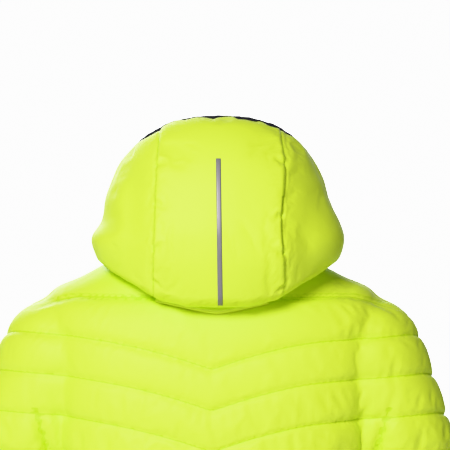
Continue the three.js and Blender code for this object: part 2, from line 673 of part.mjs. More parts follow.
function hoodSolid(inset) {
  const side = meridian(hoodPoints("side"), inset, 1);
  const back = meridian(hoodPoints("back"), inset, 1);
  const front = meridian(hoodPoints("front"), inset, -1);
  const power = 2 / 2.2;
  const ring = (share) =>
    Array.from({ length: HOOD_AROUND }, (_, i) => {
      const angle = (2 * Math.PI * i) / HOOD_AROUND;
      const s = Math.sin(angle);
      const c = Math.cos(angle);
      const end = (c > 0 ? back : front)(share);
      const flank = side(share);
      const across = Math.sign(s) * Math.abs(s) ** power * Math.max(0.5, flank.x);
      const z = THREE.MathUtils.lerp(flank.y, end.y, c * c);
      const along = Math.sign(c) * Math.max(0.5, Math.abs(end.x)) * Math.abs(c) ** power;
      return new THREE.Vector3(across, HOOD_MIDDLE + along, z);
    });
  return loft(HOOD_SHARES.map(ring));
}

// The hood's lower edge seen from behind, and the line of its face opening seen from the side.
const HOOD_EDGE = [[0, -83], [40, -83], [76, -75], [94, -65], [113, -54], [141, -38], [200, -20]];
const hoodRegion = prism(
  [...HOOD_EDGE.slice(1).reverse().map(([x, z]) => [-x, z]), ...HOOD_EDGE, [FAR, FAR], [-FAR, FAR]],
  "xz",
);
const OPENING_LINE = [
  [58, HOOD_TOP + 40],
  [58, HOOD_TOP],
  [5, 95],
  [-20, 60],
  [-42, 20],
  [-55, -22],
  [-62, -60],
  [-62, -200],
];
const behindOpening = (shift) =>
  prism([...OPENING_LINE.map(([y, z]) => [y + shift, z]), [FAR, -200], [FAR, HOOD_TOP + 40]], "yz");
const bodyRoom = bodySolid(-HOOD_CLEARANCE, AROUND)
  .add(armSolid(-HOOD_CLEARANCE, ARM_AROUND, 1))
  .add(armSolid(-HOOD_CLEARANCE, ARM_AROUND, -1))
  .add(collarSolid(-HOOD_CLEARANCE));
const hoodTrim = (made, shift) => made.subtract(bodyRoom).intersect(hoodRegion).intersect(behindOpening(shift));

const hoodShell = hoodTrim(hoodSolid(0).subtract(hoodSolid(HOOD_SHELL)), 0);
addPiece("hood_centre_panel", keepLargest(hoodShell.intersect(box(2 * HOOD_SEAM, 2 * FAR, 2 * FAR))), NEON);
both((side, name) =>
  addPiece(`hood_side_${name}`, keepLargest(hoodShell.intersect(halfOf(side, HOOD_SEAM + GAP))), NEON),
);
const hoodLining = hoodSolid(HOOD_SHELL + GAP).subtract(hoodSolid(HOOD_SHELL + GAP + HOOD_LINING));
addPiece("hood_lining", keepLargest(hoodTrim(hoodLining, 0)), MESH_LINING);
const rim = hoodTrim(hoodSolid(0).subtract(hoodSolid(HOOD_SHELL + GAP + HOOD_LINING)), -RIM_WIDTH - GAP);
addPiece("hood_rim_binding", keepLargest(rim.subtract(behindOpening(-GAP))), DARK);
const [stripLow, stripHigh] = STRIP_ENDS;
addPiece(
  "reflective_strip",
  hoodSolid(-GAP - STRIP_THICKNESS)
    .subtract(hoodSolid(-GAP))
    .intersect(box(STRIP_WIDTH, FAR, stripHigh - stripLow, 0, HOOD_MIDDLE + FAR / 2, (stripHigh + stripLow) / 2)),
  REFLECTIVE,
);

// The panel that joins the hood to the neckline lies on the back below the collar and ends in a shallow point.
const NECK_PANEL = 3;
const neckPanelEdge = [[-70, -20], [-70, -76], [0, -92], [70, -76], [70, -20]];
addPiece(
  "hood_neck_panel",
  keepLargest(
    bodySolid(-GAP - NECK_PANEL, AROUND)
      .subtract(bodySolid(-GAP, AROUND))
      .intersect(prism(neckPanelEdge, "xz", -FAR, -20)),
  ),
  NEON,
);

// ---------------------------------------------------------------- build: main zip

{
  const bottom = -zipLength;
  const half = CHAIN_WIDTH / 2;
  const face = -tapeDepth;
  const retainer = { height: 14, depth: CHAIN_DEPTH + 1 };
  both((side, name) => {
    const tape = new THREE.BoxGeometry(TAPE_WIDTH - GAP, zipLength, TAPE);
    tape.translate(side * (half + GAP + (TAPE_WIDTH - GAP) / 2), bottom / 2, face - TAPE / 2);
    addPiece(`zip_tape_${name}`, solid(tape), DARK, zipFrame);
    const chainEnd = bottom + retainer.height + GAP;
    const chain = new THREE.BoxGeometry(half - GAP / 2, -1 - chainEnd, CHAIN_DEPTH);
    chain.translate(side * (half + GAP / 2) / 2, (chainEnd - 1) / 2, face - TAPE + CHAIN_DEPTH / 2);
    addPiece(`zip_teeth_${name}`, solid(chain), PLASTIC, zipFrame);
  });
  const block = new THREE.BoxGeometry(CHAIN_WIDTH, retainer.height, retainer.depth);
  block.translate(0, bottom + retainer.height / 2, face - TAPE + retainer.depth / 2);
  addPiece("zip_box", solid(block), PLASTIC, zipFrame);
  addSlider("zip", zipFrame, -SLIDER.length / 2 - 2, PULLER_LENGTH, face - TAPE + CHAIN_DEPTH + GAP);
  const flap = new THREE.BoxGeometry(STORM_FLAP_WIDTH, zipLength - 6, STORM_FLAP);
  addPiece("storm_flap", solid(flap.translate(0, bottom / 2, -SHELL - 2 * GAP - STORM_FLAP / 2)), DARK, zipFrame);
  const guard = new THREE.BoxGeometry(STORM_FLAP_WIDTH - 6, 44, 1.8);
  addPiece("chin_guard", solid(guard.translate(0, -26, -SHELL - 3 * GAP - STORM_FLAP - 0.9)), STRETCH, zipFrame);
}

// ---------------------------------------------------------------- build: cuffs' tabs, gaiters and snow skirt

const armLength = ARM_CURVE.getLength();
const cuffMiddle = 1 - (0.5 * CUFF_LENGTH) / armLength;
const TAB = { breadth: 24, thick: 2.4, from: -0.75, to: 0.75 };

both((side, name) => {
  const { centre, along, out } = armFrame(cuffMiddle);
  const inner = armRadius(CUFF_SHARE) + 2 * GAP;
  const shape = new THREE.Shape();
  shape.absarc(0, 0, inner + TAB.thick, TAB.from, TAB.to, false);
  shape.absarc(0, 0, inner, TAB.to, TAB.from, true);
  const sector = new THREE.ExtrudeGeometry(shape, { depth: TAB.breadth, bevelEnabled: false, curveSegments: 10 });
  sector.translate(0, 0, -TAB.breadth / 2);
  const basis = new THREE.Matrix4().makeBasis(out, new THREE.Vector3().crossVectors(along, out), along);
  const tab = solid(sector.applyMatrix4(basis.setPosition(centre)));
  addPiece(`cuff_tab_${name}`, side > 0 ? tab : mirrored(tab), DARK);

  const tube = (radius, from, to) => loft([from, (from + to) / 2, to].map((v) => armRing(v, radius, ARM_AROUND)));
  const from = 1 - GAITER_LENGTH / armLength;
  const to = 1 + 10 / armLength;
  const reach = WRIST_RADIUS - liningInset - LINING - 2;
  const gaiter = tube(reach, from, to).subtract(tube(reach - 2, from - 0.02, to + 0.02));
  addPiece(`wrist_gaiter_${name}`, side > 0 ? gaiter : mirrored(gaiter), STRETCH);
});

const skirtInset = liningInset + LINING + 2 * GAP;
const skirtTop = 0.76 * -BODY_LENGTH;
addPiece(
  "snow_skirt",
  keepLargest(
    bodySolid(skirtInset, AROUND)
      .subtract(bodySolid(skirtInset + SKIRT_WALL, AROUND, { above: 0.1, below: 0.1 }))
      .intersect(box(2 * FAR, 2 * FAR, SKIRT_HEIGHT, 0, 0, skirtTop - SKIRT_HEIGHT / 2))
      .subtract(box(STORM_FLAP_WIDTH + 6, FAR, FAR * 4, 0, -FAR / 2, 0)),
  ),
  STRETCH,
);

export default group;
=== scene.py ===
"""The looks of the ski jacket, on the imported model's frame.

Sizes are in millimetres until a mesh is made, and then in metres. The wearer's left is +X, the front faces
-Y, and z = 0 is the height of the side neck points.
"""

import json
import math

import bpy
import numpy as np
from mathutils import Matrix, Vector
from mathutils.bvhtree import BVHTree

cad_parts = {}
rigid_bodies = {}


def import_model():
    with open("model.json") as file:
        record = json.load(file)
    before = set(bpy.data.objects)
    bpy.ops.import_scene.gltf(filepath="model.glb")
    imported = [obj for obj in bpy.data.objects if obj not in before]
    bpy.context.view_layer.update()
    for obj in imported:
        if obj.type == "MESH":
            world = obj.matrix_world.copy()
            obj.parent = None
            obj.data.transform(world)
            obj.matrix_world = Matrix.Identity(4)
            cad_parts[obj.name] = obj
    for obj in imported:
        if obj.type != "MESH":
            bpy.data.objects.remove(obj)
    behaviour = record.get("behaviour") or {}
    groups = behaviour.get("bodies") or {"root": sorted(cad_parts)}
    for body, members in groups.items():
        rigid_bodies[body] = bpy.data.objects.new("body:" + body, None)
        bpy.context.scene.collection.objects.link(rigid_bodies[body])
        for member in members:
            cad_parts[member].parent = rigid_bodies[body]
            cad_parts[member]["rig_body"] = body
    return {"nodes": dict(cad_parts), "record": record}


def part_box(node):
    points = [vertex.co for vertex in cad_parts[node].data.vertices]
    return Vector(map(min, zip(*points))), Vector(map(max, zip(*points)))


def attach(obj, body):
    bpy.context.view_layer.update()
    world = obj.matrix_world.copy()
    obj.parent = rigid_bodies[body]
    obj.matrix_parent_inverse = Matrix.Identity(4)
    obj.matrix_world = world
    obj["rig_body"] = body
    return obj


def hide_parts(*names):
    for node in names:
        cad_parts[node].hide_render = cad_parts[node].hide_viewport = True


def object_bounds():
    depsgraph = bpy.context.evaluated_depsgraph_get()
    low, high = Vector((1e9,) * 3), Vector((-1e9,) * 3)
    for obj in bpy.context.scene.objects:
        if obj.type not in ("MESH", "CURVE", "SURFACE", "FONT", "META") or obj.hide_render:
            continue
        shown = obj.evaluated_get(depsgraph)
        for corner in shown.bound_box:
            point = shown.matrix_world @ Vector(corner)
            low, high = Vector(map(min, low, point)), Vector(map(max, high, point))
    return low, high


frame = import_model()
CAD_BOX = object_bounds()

MM = 0.001
ROOT = "jacket"
HOOD = "hood"

# ---------------------------------------------------------------- sizes

BODY_LENGTH = -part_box("hem_band")[0].z / MM
HEM_BAND = 30
NECK_HALF_WIDTH = 72
FRONT_NECK_DEPTH = 87
FRONT_SLOPE = 0.0744
SHELL = 5
ZIP_OPENING = 15
SIDE_SEAM = 5
YOKE_FRONT = -112
QUILT_PITCH = 50

UPPER_ARM = [(188, 2, -152), (222, 0, -240), (254, -4, -330)]
ARM_POINTS = UPPER_ARM + [(282, -14, -430), (304, -48, -550), (318, -95, -685)]
ARM_RADII = [80, 75, 69, 64, 56, 46]
ELBOW_SHARE = 0.56
CUFF_LENGTH = 46

HOOD_LEAN = -7  # the hood lies a little towards the wearer's right
HOOD_MIDDLE = 50
HOOD_SHELL = 4
STRIP_WIDTH = 6.1
STRIP_TOP = 100
STRIP_LENGTH = 177.5

# ---------------------------------------------------------------- camera first

VIEW_WIDTH = 562  # what the picture spans at the hood
VIEW_DISTANCE = 3000


def add_camera():
    camera = bpy.data.cameras.new("camera")
    camera.sensor_width = 36
    camera.lens = camera.sensor_width * VIEW_DISTANCE / VIEW_WIDTH
    camera.clip_end = 50
    obj = bpy.data.objects.new("camera", camera)
    bpy.context.collection.objects.link(obj)
    aim = Vector((-16, HOOD_MIDDLE, 19)) * MM
    obj.location = aim + Vector((0, VIEW_DISTANCE, 20)) * MM
    obj.rotation_euler = (aim - obj.location).to_track_quat("-Z", "Y").to_euler()
    bpy.context.scene.camera = obj


add_camera()

# ---------------------------------------------------------------- curves and closed surfaces


def catmull(points, t):
    """Points on a centripetal Catmull-Rom curve, where t runs evenly over the given points from 0 to 1."""
    p = np.asarray(points, float)
    first, last = 2 * p[0] - p[1], 2 * p[-1] - p[-2]
    p = np.vstack([first, p, last])
    place = np.clip(np.asarray(t, float), 0, 1) * (len(p) - 3)
    i = np.minimum(place.astype(int), len(p) - 4)
    u = (place - i)[..., None]
    a, b, c, d = p[i], p[i + 1], p[i + 2], p[i + 3]
    steps = ((a, b), (b, c), (c, d))
    gap = [np.maximum(np.linalg.norm(y - x, axis=-1, keepdims=True) ** 0.5, 1e-6) for x, y in steps]
    m1 = ((b - a) / gap[0] - (c - a) / (gap[0] + gap[1]) + (c - b) / gap[1]) * gap[1]
    m2 = ((c - b) / gap[1] - (d - b) / (gap[1] + gap[2]) + (d - c) / gap[2]) * gap[1]
    return b + m1 * u + (3 * (c - b) - 2 * m1 - m2) * u**2 + (2 * (b - c) + m1 + m2) * u**3


def mix(a, b, share):
    return a + (b - a) * share


def smooth_step(x, low, high):
    t = np.clip((x - low) / (high - low), 0, 1)
    return t * t * (3 - 2 * t)


def bump(x, centre, width):
    return np.exp(-(((x - centre) / width) ** 2))


def grid_faces(rows, around, wrap=True):
    """Quads over a grid of rows, which close round where wrap is set, as index arrays."""
    r, c = np.meshgrid(np.arange(rows - 1), np.arange(around if wrap else around - 1), indexing="ij")
    a = r * around + c
    b = r * around + (c + 1) % around
    return np.stack([a, b, b + around, a + around], -1).reshape(-1, 4)


def closed_loft(rings):
    """Triangles of a closed skin over rings (rows, around, 3), with a fan over each end, facing out."""
    rows, around, _ = rings.shape
    quads = grid_faces(rows, around)
    points = np.vstack([rings.reshape(-1, 3), rings[0].mean(0), rings[-1].mean(0)])
    i = np.arange(around)
    j = (i + 1) % around
    start = np.full(around, rows * around)
    last = (rows - 1) * around
    fans = [np.stack([start, j, i], -1), np.stack([start + 1, last + i, last + j], -1)]
    faces = np.vstack([quads[:, [0, 1, 2]], quads[:, [0, 2, 3]], *fans])
    a, b, c = (points[faces[:, k]] for k in range(3))
    if np.einsum("ij,ij->i", a, np.cross(b, c)).sum() < 0:
        faces = faces[:, ::-1]
    return points, faces


def mirrored(mesh):
    points, faces = mesh
    return points * [-1, 1, 1], faces[:, ::-1]


def section(side, back, front, angle, power):
    """Points of a rounded section. side, back and front are (reach, z) at the flank and the centre lines."""
    s, c = np.sin(angle), np.cos(angle)
    end = np.where((c > 0)[..., None], back, front)
    across = np.sign(s) * np.abs(s) ** (2 / power) * side[..., 0]
    along = np.abs(c) ** (2 / power) * end[..., 0]
    return np.stack([across, along, mix(side[..., 1], end[..., 1], c * c)], -1)


# ---------------------------------------------------------------- meshes in numpy


def new_object(name, points, faces, material=None):
    mesh = bpy.data.meshes.new(name)
    mesh.from_pydata((np.asarray(points) * MM).tolist(), [], np.asarray(faces).tolist())
    mesh.validate()
    mesh.shade_smooth()
    obj = bpy.data.objects.new(name, mesh)
    bpy.context.collection.objects.link(obj)
    if material:
        mesh.materials.append(material)
    return obj


def arrays(mesh):
    """Points in millimetres and triangles of a Blender mesh."""
    points = np.zeros(len(mesh.vertices) * 3)
    mesh.vertices.foreach_get("co", points)
    mesh.calc_loop_triangles()
    faces = np.zeros(len(mesh.loop_triangles) * 3, int)
    mesh.loop_triangles.foreach_get("vertices", faces)
    return points.reshape(-1, 3) / MM, faces.reshape(-1, 3)


def evaluated(obj):
    """Arrays of an object with its modifiers applied. The object is removed."""
    shown = obj.evaluated_get(bpy.context.evaluated_depsgraph_get())
    result = arrays(shown.to_mesh())
    bpy.data.objects.remove(obj)
    return result


def joined(parts):
    points, faces, start = [], [], 0
    for p, f in parts:
        points.append(p)
        faces.append(f + start)
        start += len(p)
    return np.vstack(points), np.vstack(faces)


def remeshed(parts, voxel):
    """Overlapping closed skins as one even skin."""
    obj = new_object("remesh", *joined(parts))
    modifier = obj.modifiers.new("remesh", "REMESH")
    modifier.mode = "VOXEL"
    modifier.voxel_size = voxel * MM
    return evaluated(obj)


def sides_of(faces):
    """The three directed sides of every triangle."""
    return np.vstack([faces[:, [0, 1]], faces[:, [1, 2]], faces[:, [2, 0]]])


def edges_of(faces):
    return np.unique(np.sort(sides_of(faces), axis=1), axis=0)


def free_ends(faces, count):
    """A mask of the points on sides that only one triangle uses."""
    edges, uses = np.unique(np.sort(sides_of(faces), axis=1), axis=0, return_counts=True)
    return np.bincount(edges[uses == 1].ravel(), minlength=count) > 0


def smoothed(points, faces, rounds, hold=None):
    """Laplacian smoothing that keeps the volume (Taubin). hold is a mask of points that stay."""
    edges = edges_of(faces)
    count = np.bincount(edges.ravel(), minlength=len(points))[:, None]
    points = points.copy()
    for step in range(2 * rounds):
        total = np.zeros_like(points)
        for k in range(3):
            total[:, k] = np.bincount(edges[:, 0], points[edges[:, 1], k], len(points))
            total[:, k] += np.bincount(edges[:, 1], points[edges[:, 0], k], len(points))
        move = (total / np.maximum(count, 1) - points) * (0.55 if step % 2 == 0 else -0.57)
        if hold is not None:
            move[hold] = 0
        points += move
    return points


def normals_of(points, faces):
    a, b, c = (points[faces[:, k]] for k in range(3))
    n = np.cross(b - a, c - a)
    total = np.zeros_like(points)
    for k in range(3):
        for axis in range(3):
            total[:, axis] += np.bincount(faces[:, k], n[:, axis], len(points))
    return total / np.maximum(np.linalg.norm(total, axis=1, keepdims=True), 1e-9)


class Skin:
    """A triangle skin with values on its points, which can be cut along the zero line of any of them."""

    def __init__(self, points, faces):
        self.points = points
        self.faces = faces
        self.values = {}

    def cut(self, name, value):
        """Splits the triangles where value changes sign. Points close to the line move onto it."""
        self.values[name] = np.asarray(value, float).copy()
        f = self.values[name]
        edges = edges_of(self.faces)
        a, b = edges.T
        crossing = f[a] * f[b] < 0
        a, b = a[crossing], b[crossing]
        t = f[a] / (f[a] - f[b])
        near = np.minimum(t, 1 - t) < 0.25
        mover = np.where(t < 0.5, a, b)[near]
        place = mix(self.points[a[near]], self.points[b[near]], t[near][:, None])
        self.points[mover] = place
        for key, v in self.values.items():
            if key != name:
                v[mover] = mix(v[a[near]], v[b[near]], t[near])
        f[mover] = 0
        crossing = f[edges[:, 0]] * f[edges[:, 1]] < 0
        edges = edges[crossing]
        a, b = edges.T
        t = f[a] / (f[a] - f[b])
        first = len(self.points)
        self.points = np.vstack([self.points, mix(self.points[a], self.points[b], t[:, None])])
        for key, v in self.values.items():
            self.values[key] = np.concatenate([v, mix(v[a], v[b], t) if key != name else np.zeros(len(a))])
        middle = {(int(x), int(y)): first + k for k, (x, y) in enumerate(zip(a, b))}
        self._split(middle, self.values[name])

    def _split(self, middle, f):
        signs = np.sign(f[self.faces])
        mixed = (signs.max(1) > 0) & (signs.min(1) < 0)
        made = []
        for tri in self.faces[mixed]:
            for turn in range(3):
                a, b, c = (int(tri[(turn + k) % 3]) for k in range(3))
                ab = middle.get((min(a, b), max(a, b)))
                bc = middle.get((min(b, c), max(b, c)))
                ca = middle.get((min(a, c), max(a, c)))
                if ab is not None and ca is not None and bc is None:
                    made += [(a, ab, ca), (ab, b, c), (ab, c, ca)]
                    break
                if ab is not None and bc is None and ca is None:
                    made += [(a, ab, c), (ab, b, c)]
                    break
        self.faces = np.vstack([self.faces[~mixed], np.array(made, int).reshape(-1, 3)])

    def side(self, name):
        """For each triangle, True where the value is positive."""
        return self.values[name][self.faces].sum(1) > 0

    def keep(self, mask):
        """Drops the other triangles and the points that nothing uses."""
        self.points, self.faces, used = self.part(mask)
        self.values = {k: v[used] for k, v in self.values.items()}

    def part(self, mask):
        """Points and triangles of some of the triangles, and which of the skin's points they are."""
        faces = self.faces[mask]
        used = np.unique(faces)
        place = np.full(len(self.points), -1)
        place[used] = np.arange(len(used))
        return self.points[used], place[faces], used


# ---------------------------------------------------------------- cloth


def relaxed(points, faces, held, growth, pressure, cap, frames=16):
    """Settles a skin as cloth a little too large for its held points. No point moves further than cap."""
    obj = new_object("settling", points, faces)
    group = obj.vertex_groups.new(name="held")
    group.add(np.flatnonzero(held).tolist(), 1, "REPLACE")
    modifier = obj.modifiers.new("cloth", "CLOTH")
    cloth = modifier.settings
    cloth.quality = 4
    cloth.mass = 0.05
    cloth.tension_stiffness = cloth.compression_stiffness = 15
    cloth.shear_stiffness = 5
    cloth.bending_stiffness = 0.05
    cloth.vertex_group_mass = "held"
    cloth.shrink_min = -growth
    cloth.use_pressure = True
    cloth.uniform_pressure_force = pressure
    cloth.effector_weights.gravity = 0
    modifier.collision_settings.use_collision = False
    modifier.point_cache.frame_start = 1
    modifier.point_cache.frame_end = frames
    for number in range(1, frames + 1):
        bpy.context.scene.frame_set(number)
    settled, _ = evaluated(obj)
    bpy.context.scene.frame_set(1)
    move = settled - points
    reach = np.linalg.norm(move, axis=1, keepdims=True)
    return points + move * np.tanh(reach / cap) * cap / np.maximum(reach, 1e-6)


def ripple(s, length, seed):
    """Uneven waves along a line, from -1 to 1, with about one wave per length."""
    phase = np.random.default_rng(seed).uniform(0, 6.28, 4)
    waves = [np.sin(s * 6.28 / (length * k) + phase[i]) for i, k in enumerate((1, 0.71, 1.43, 0.47))]
    return (waves[0] + 0.7 * waves[1] + 0.6 * waves[2] + 0.35 * waves[3]) / 2.2


# ---------------------------------------------------------------- the body's and the sleeves' surface

WAIST = -0.608 * BODY_LENGTH
HIP = -0.81 * BODY_LENGTH
SHOULDER = [(72, 0), (112, -21), (160, -47), (206, -72), (217, -125)]
SIDE_LINE = SHOULDER + [(192, -330), (186, WAIST), (194, HIP), (200, -BODY_LENGTH)]
UPPER_BACK = [(68, 12), (95, -28), (120, -78), (134, -130), (141, -190)]
BACK_LINE = UPPER_BACK + [(137, -330), (116, WAIST), (124, HIP), (130, -BODY_LENGTH)]
FRONT_LEVELS = [-55, -88, -125, -165, -215, -330, WAIST, HIP, -BODY_LENGTH]
FRONT_LINE = [(-FRONT_NECK_DEPTH + FRONT_SLOPE * z, z) for z in FRONT_LEVELS]


def body_lines(share, rows, around):
    """The body's flank and centre lines, sampled for every point of a grid."""
    share = np.broadcast_to(share, (rows, around))
    return [catmull(line, share) for line in (SIDE_LINE, BACK_LINE, FRONT_LINE)]


def body_rings(rows, around, first=0.0, last=1.0):
    share = np.linspace(first, last, rows)[:, None]
    angle = np.linspace(0, 2 * np.pi, around, endpoint=False)[None, :]
    power = mix(2.1, 2.5, np.clip(3 * share, 0, 1))
    return section(*body_lines(share, rows, around), np.broadcast_to(angle, (rows, around)), power)


ARM_SAMPLES = 240
ARM_SHARE = np.linspace(0, 1, ARM_SAMPLES)
ARM_LINE = catmull(ARM_POINTS, ARM_SHARE)
ARM_REACH = np.concatenate([[0], np.cumsum(np.linalg.norm(np.diff(ARM_LINE, axis=0), axis=1))])
ARM_LENGTH = ARM_REACH[-1]
ARM_RADIUS = np.interp(ARM_SHARE * 5, range(6), ARM_RADII)
CUFF_START = ARM_LENGTH - CUFF_LENGTH


def arm_axes():
    along = np.gradient(ARM_LINE, axis=0)
    along /= np.linalg.norm(along, axis=1, keepdims=True)
    out = np.cross([0, -1, 0], along)
    out /= np.linalg.norm(out, axis=1, keepdims=True)
    out *= np.sign(out[:, :1])
    ahead = np.cross(along, out)
    return along, out, ahead * -np.sign(ahead[:, 1:2])


ALONG, OUT, AHEAD = arm_axes()


def arm_rings(around):
    angle = np.linspace(0, 2 * np.pi, around, endpoint=False)[None, :, None]
    across = np.cos(angle) * OUT[:, None] + np.sin(angle) * AHEAD[:, None]
    return (ARM_LINE[:, None] + across * ARM_RADIUS[:, None, None])[::4]


def arm_point(reach, angle, radius):
    """Points round the left arm. reach may run past the cuff."""
    place = [np.interp(reach, ARM_REACH, ARM_LINE[:, k]) for k in range(3)]
    out = [np.interp(reach, ARM_REACH, OUT[:, k]) for k in range(3)]
    ahead = [np.interp(reach, ARM_REACH, AHEAD[:, k]) for k in range(3)]
    past = np.clip(reach - ARM_LENGTH, 0, None)
    parts = []
    for k in range(3):
        aside = np.cos(angle) * out[k] + np.sin(angle) * ahead[k]
        parts.append(place[k] + past * ALONG[-1, k] + radius * aside)
    return np.stack(parts, -1)


def arm_head():
    """The rounded top of a sleeve, as a closed sphere."""
    polar = np.linspace(0.03, np.pi - 0.03, 40)[:, None, None]
    angle = np.linspace(0, 2 * np.pi, 64, endpoint=False)[None, :, None]
    girth = np.sin(polar)
    unit = np.concatenate([girth * np.cos(angle), girth * np.sin(angle), np.cos(polar) + 0 * angle], -1)
    return closed_loft(np.array(ARM_POINTS[0]) + unit * (ARM_RADII[0] - 0.3))


def arm_place(points):
    """Length along the arm, distance from its line, and angle round it (0 outwards, then to the front)."""
    p = points * [1, 1, 1]
    p[:, 0] = np.abs(p[:, 0])
    nearest = np.zeros(len(p), int)
    line = ARM_LINE[::3]
    for start in range(0, len(p), 20000):
        block = p[start : start + 20000]
        distance = (block**2).sum(1)[:, None] - 2 * block @ line.T + (line**2).sum(1)
        nearest[start : start + 20000] = distance.argmin(1) * 3
    off = p - ARM_LINE[nearest]
    reach = ARM_REACH[nearest] + (off * ALONG[nearest]).sum(1)
    across = (off * OUT[nearest]).sum(1)
    ahead = (off * AHEAD[nearest]).sum(1)
    return reach, np.hypot(across, ahead), np.arctan2(ahead, across)


ARMHOLE = [(248, 60), (246, -94), (228, -172), (202, -264), (196, -336), (206, -390), (210, -820)]


def beyond_armhole(points):
    """Distance outside the armhole's line seen from the front, negative on the body."""
    x, z = np.abs(points[:, 0]), points[:, 2]
    line = np.array(ARMHOLE, float)[::-1]
    return x - np.interp(z, line[:, 1], line[:, 0])


def chevron(x):
    """Height of the topmost quilting line of the back, which comes to a point in the middle."""
    return -155.5 + 49 * (1 - np.exp(-((np.abs(x) / 118) ** 1.1))) - 5 * smooth_step(-x, 100, 200)


def yoke_line(points):
    """Height of the seam under the yoke, behind and in front."""
    x, y, _ = points.T
    reach = np.abs(x)
    behind = -69 - 4 * smooth_step(-reach, -90, 0) - 22 * np.clip((reach - 165) / 70, 0, 2) ** 1.5
    return np.where(y > SIDE_SEAM, behind, YOKE_FRONT - 0.1 * reach)


def quilting(points, reach):
    """Rows between the sewn lines: whole numbers on the lines, 0 on the topmost one, growing downwards."""
    x, y, z = points.T
    behind = chevron(x)
    ahead = -178 + 0.16 * np.abs(x)
    first = mix(ahead, behind, smooth_step(y, SIDE_SEAM - 60, SIDE_SEAM + 60))
    on_arm = smooth_step(reach, 120, 260) * (beyond_armhole(points) > 0)
    return mix((first - z) / QUILT_PITCH, (reach + 47) / QUILT_PITCH, on_arm)


def body_skin(voxel):
    parts = [closed_loft(body_rings(150, 200))]
    shoulder = arm_rings(72)
    shift = 13 * (1 - smooth_step(ARM_REACH[::4], 70, 210))
    shoulder = shoulder + shift[:, None, None] * [0, 1, 0]
    head, head_faces = arm_head()
    shifted_head = (head + [0, 13, 0], head_faces)
    arm = joined([closed_loft(arm_rings(72)), (head, head_faces), closed_loft(shoulder), shifted_head])
    parts += [arm, mirrored(arm)]
    points, faces = remeshed(parts, voxel)
    points = smoothed(points, faces, round(160 / voxel))
    side = np.abs(points[:, 0])
    joining = (side > 105) & (side < 262) & (points[:, 2] > -270)
    return Skin(smoothed(points, faces, round(500 / voxel), ~joining), faces)


def section_reach(points, row):
    """How far out a point lies at the body's top or bottom section, where 1 is on its outline."""
    back, front, side = BACK_LINE[row][0], FRONT_LINE[row][0], SIDE_LINE[row][0]
    y = np.where(points[:, 1] > 0, points[:, 1] / back, points[:, 1] / front)
    return (np.abs(points[:, 0] / side) ** 2.3 + np.abs(y) ** 2.3) ** (1 / 2.3)


def open_ends(skin):
    """Cuts the wrists, the hem, the neck and the front opening out of the closed skin."""
    reach, radius, _ = arm_place(skin.points)
    at_end = (beyond_armhole(skin.points) > 5) & (reach > ARM_LENGTH - 4)
    skin.cut("wrist", np.where(at_end, radius - (ARM_RADII[-1] - 7), 1))
    skin.keep(skin.side("wrist"))
    p = skin.points
    skin.cut("hem", np.where(p[:, 2] < -BODY_LENGTH + 4, section_reach(p, -1) - 0.955, 1))
    skin.keep(skin.side("hem"))
    p = skin.points
    in_neck = (p[:, 2] > -66) & (np.abs(p[:, 0]) < 74) & (p[:, 1] < 76) & (p[:, 1] > -97)
    skin.cut("neck", np.where(in_neck, section_reach(p, 0) - 0.92, 1))
    skin.keep(skin.side("neck"))
    p = skin.points
    skin.cut("zip", np.where(p[:, 1] < -40, np.abs(p[:, 0]) - ZIP_OPENING / 2, 1))
    skin.keep(skin.side("zip"))


def cut_panels(skin):
    """Cuts the skin along its seams and along the sewn lines of its quilting."""
    skin.cut("sleeve", beyond_armhole(skin.points))
    skin.cut("back", skin.points[:, 1] - SIDE_SEAM)
    skin.cut("yoke", skin.points[:, 2] - yoke_line(skin.points))
    skin.cut("band", skin.points[:, 2] + BODY_LENGTH - HEM_BAND)
    skin.cut("elbow", arm_place(skin.points)[0] - ELBOW_SHARE * ARM_LENGTH)
    skin.cut("cuff", arm_place(skin.points)[0] - CUFF_START)


def cut_quilting(skin):
    rows = quilting(skin.points, arm_place(skin.points)[0])
    skin.cut("quilt", np.where(rows > -0.4, np.sin(np.pi * rows), -1))


ZIP_STRIPS = ("hand_pocket_left_zip", "hand_pocket_right_zip", "chest_pocket_zip", "pass_pocket_zip")


def strip_frame(node):
    """Middle, half length, half width and the axes of a pocket zip's flat strip."""
    points, _ = arrays(frame["nodes"][node].data)
    middle = points.mean(0)
    _, _, axes = np.linalg.svd(points - middle, full_matrices=False)
    along, across, out = axes
    along = along * np.sign(along[2])
    sideways = 1 if node == "pass_pocket_zip" else middle[0] * 0.2
    out = out * np.sign(out @ np.array([sideways, -1, 0]))
    across = np.cross(along, out)
    place = (points - middle) @ np.stack([along, across, out], 1)
    low, high = place.min(0), place.max(0)
    middle = middle + along * (low[0] + high[0]) / 2 + across * (low[1] + high[1]) / 2 + out * high[2]
    return middle, (high[0] - low[0]) / 2, (high[1] - low[1]) / 2, along, across, out


STRIPS = {node: strip_frame(node) for node in ZIP_STRIPS}


def beside_strips(points):
    """Distance to the nearest pocket zip's rim, and the length along it."""
    nearest = np.full(len(points), 99.0)
    for middle, half, width, along, _, _ in STRIPS.values():
        off = points - middle
        run = np.clip(off @ along, -half + width, half - width)
        distance = np.linalg.norm(off - run[:, None] * along, axis=1) - width
        nearest = np.minimum(nearest, distance)
    return nearest


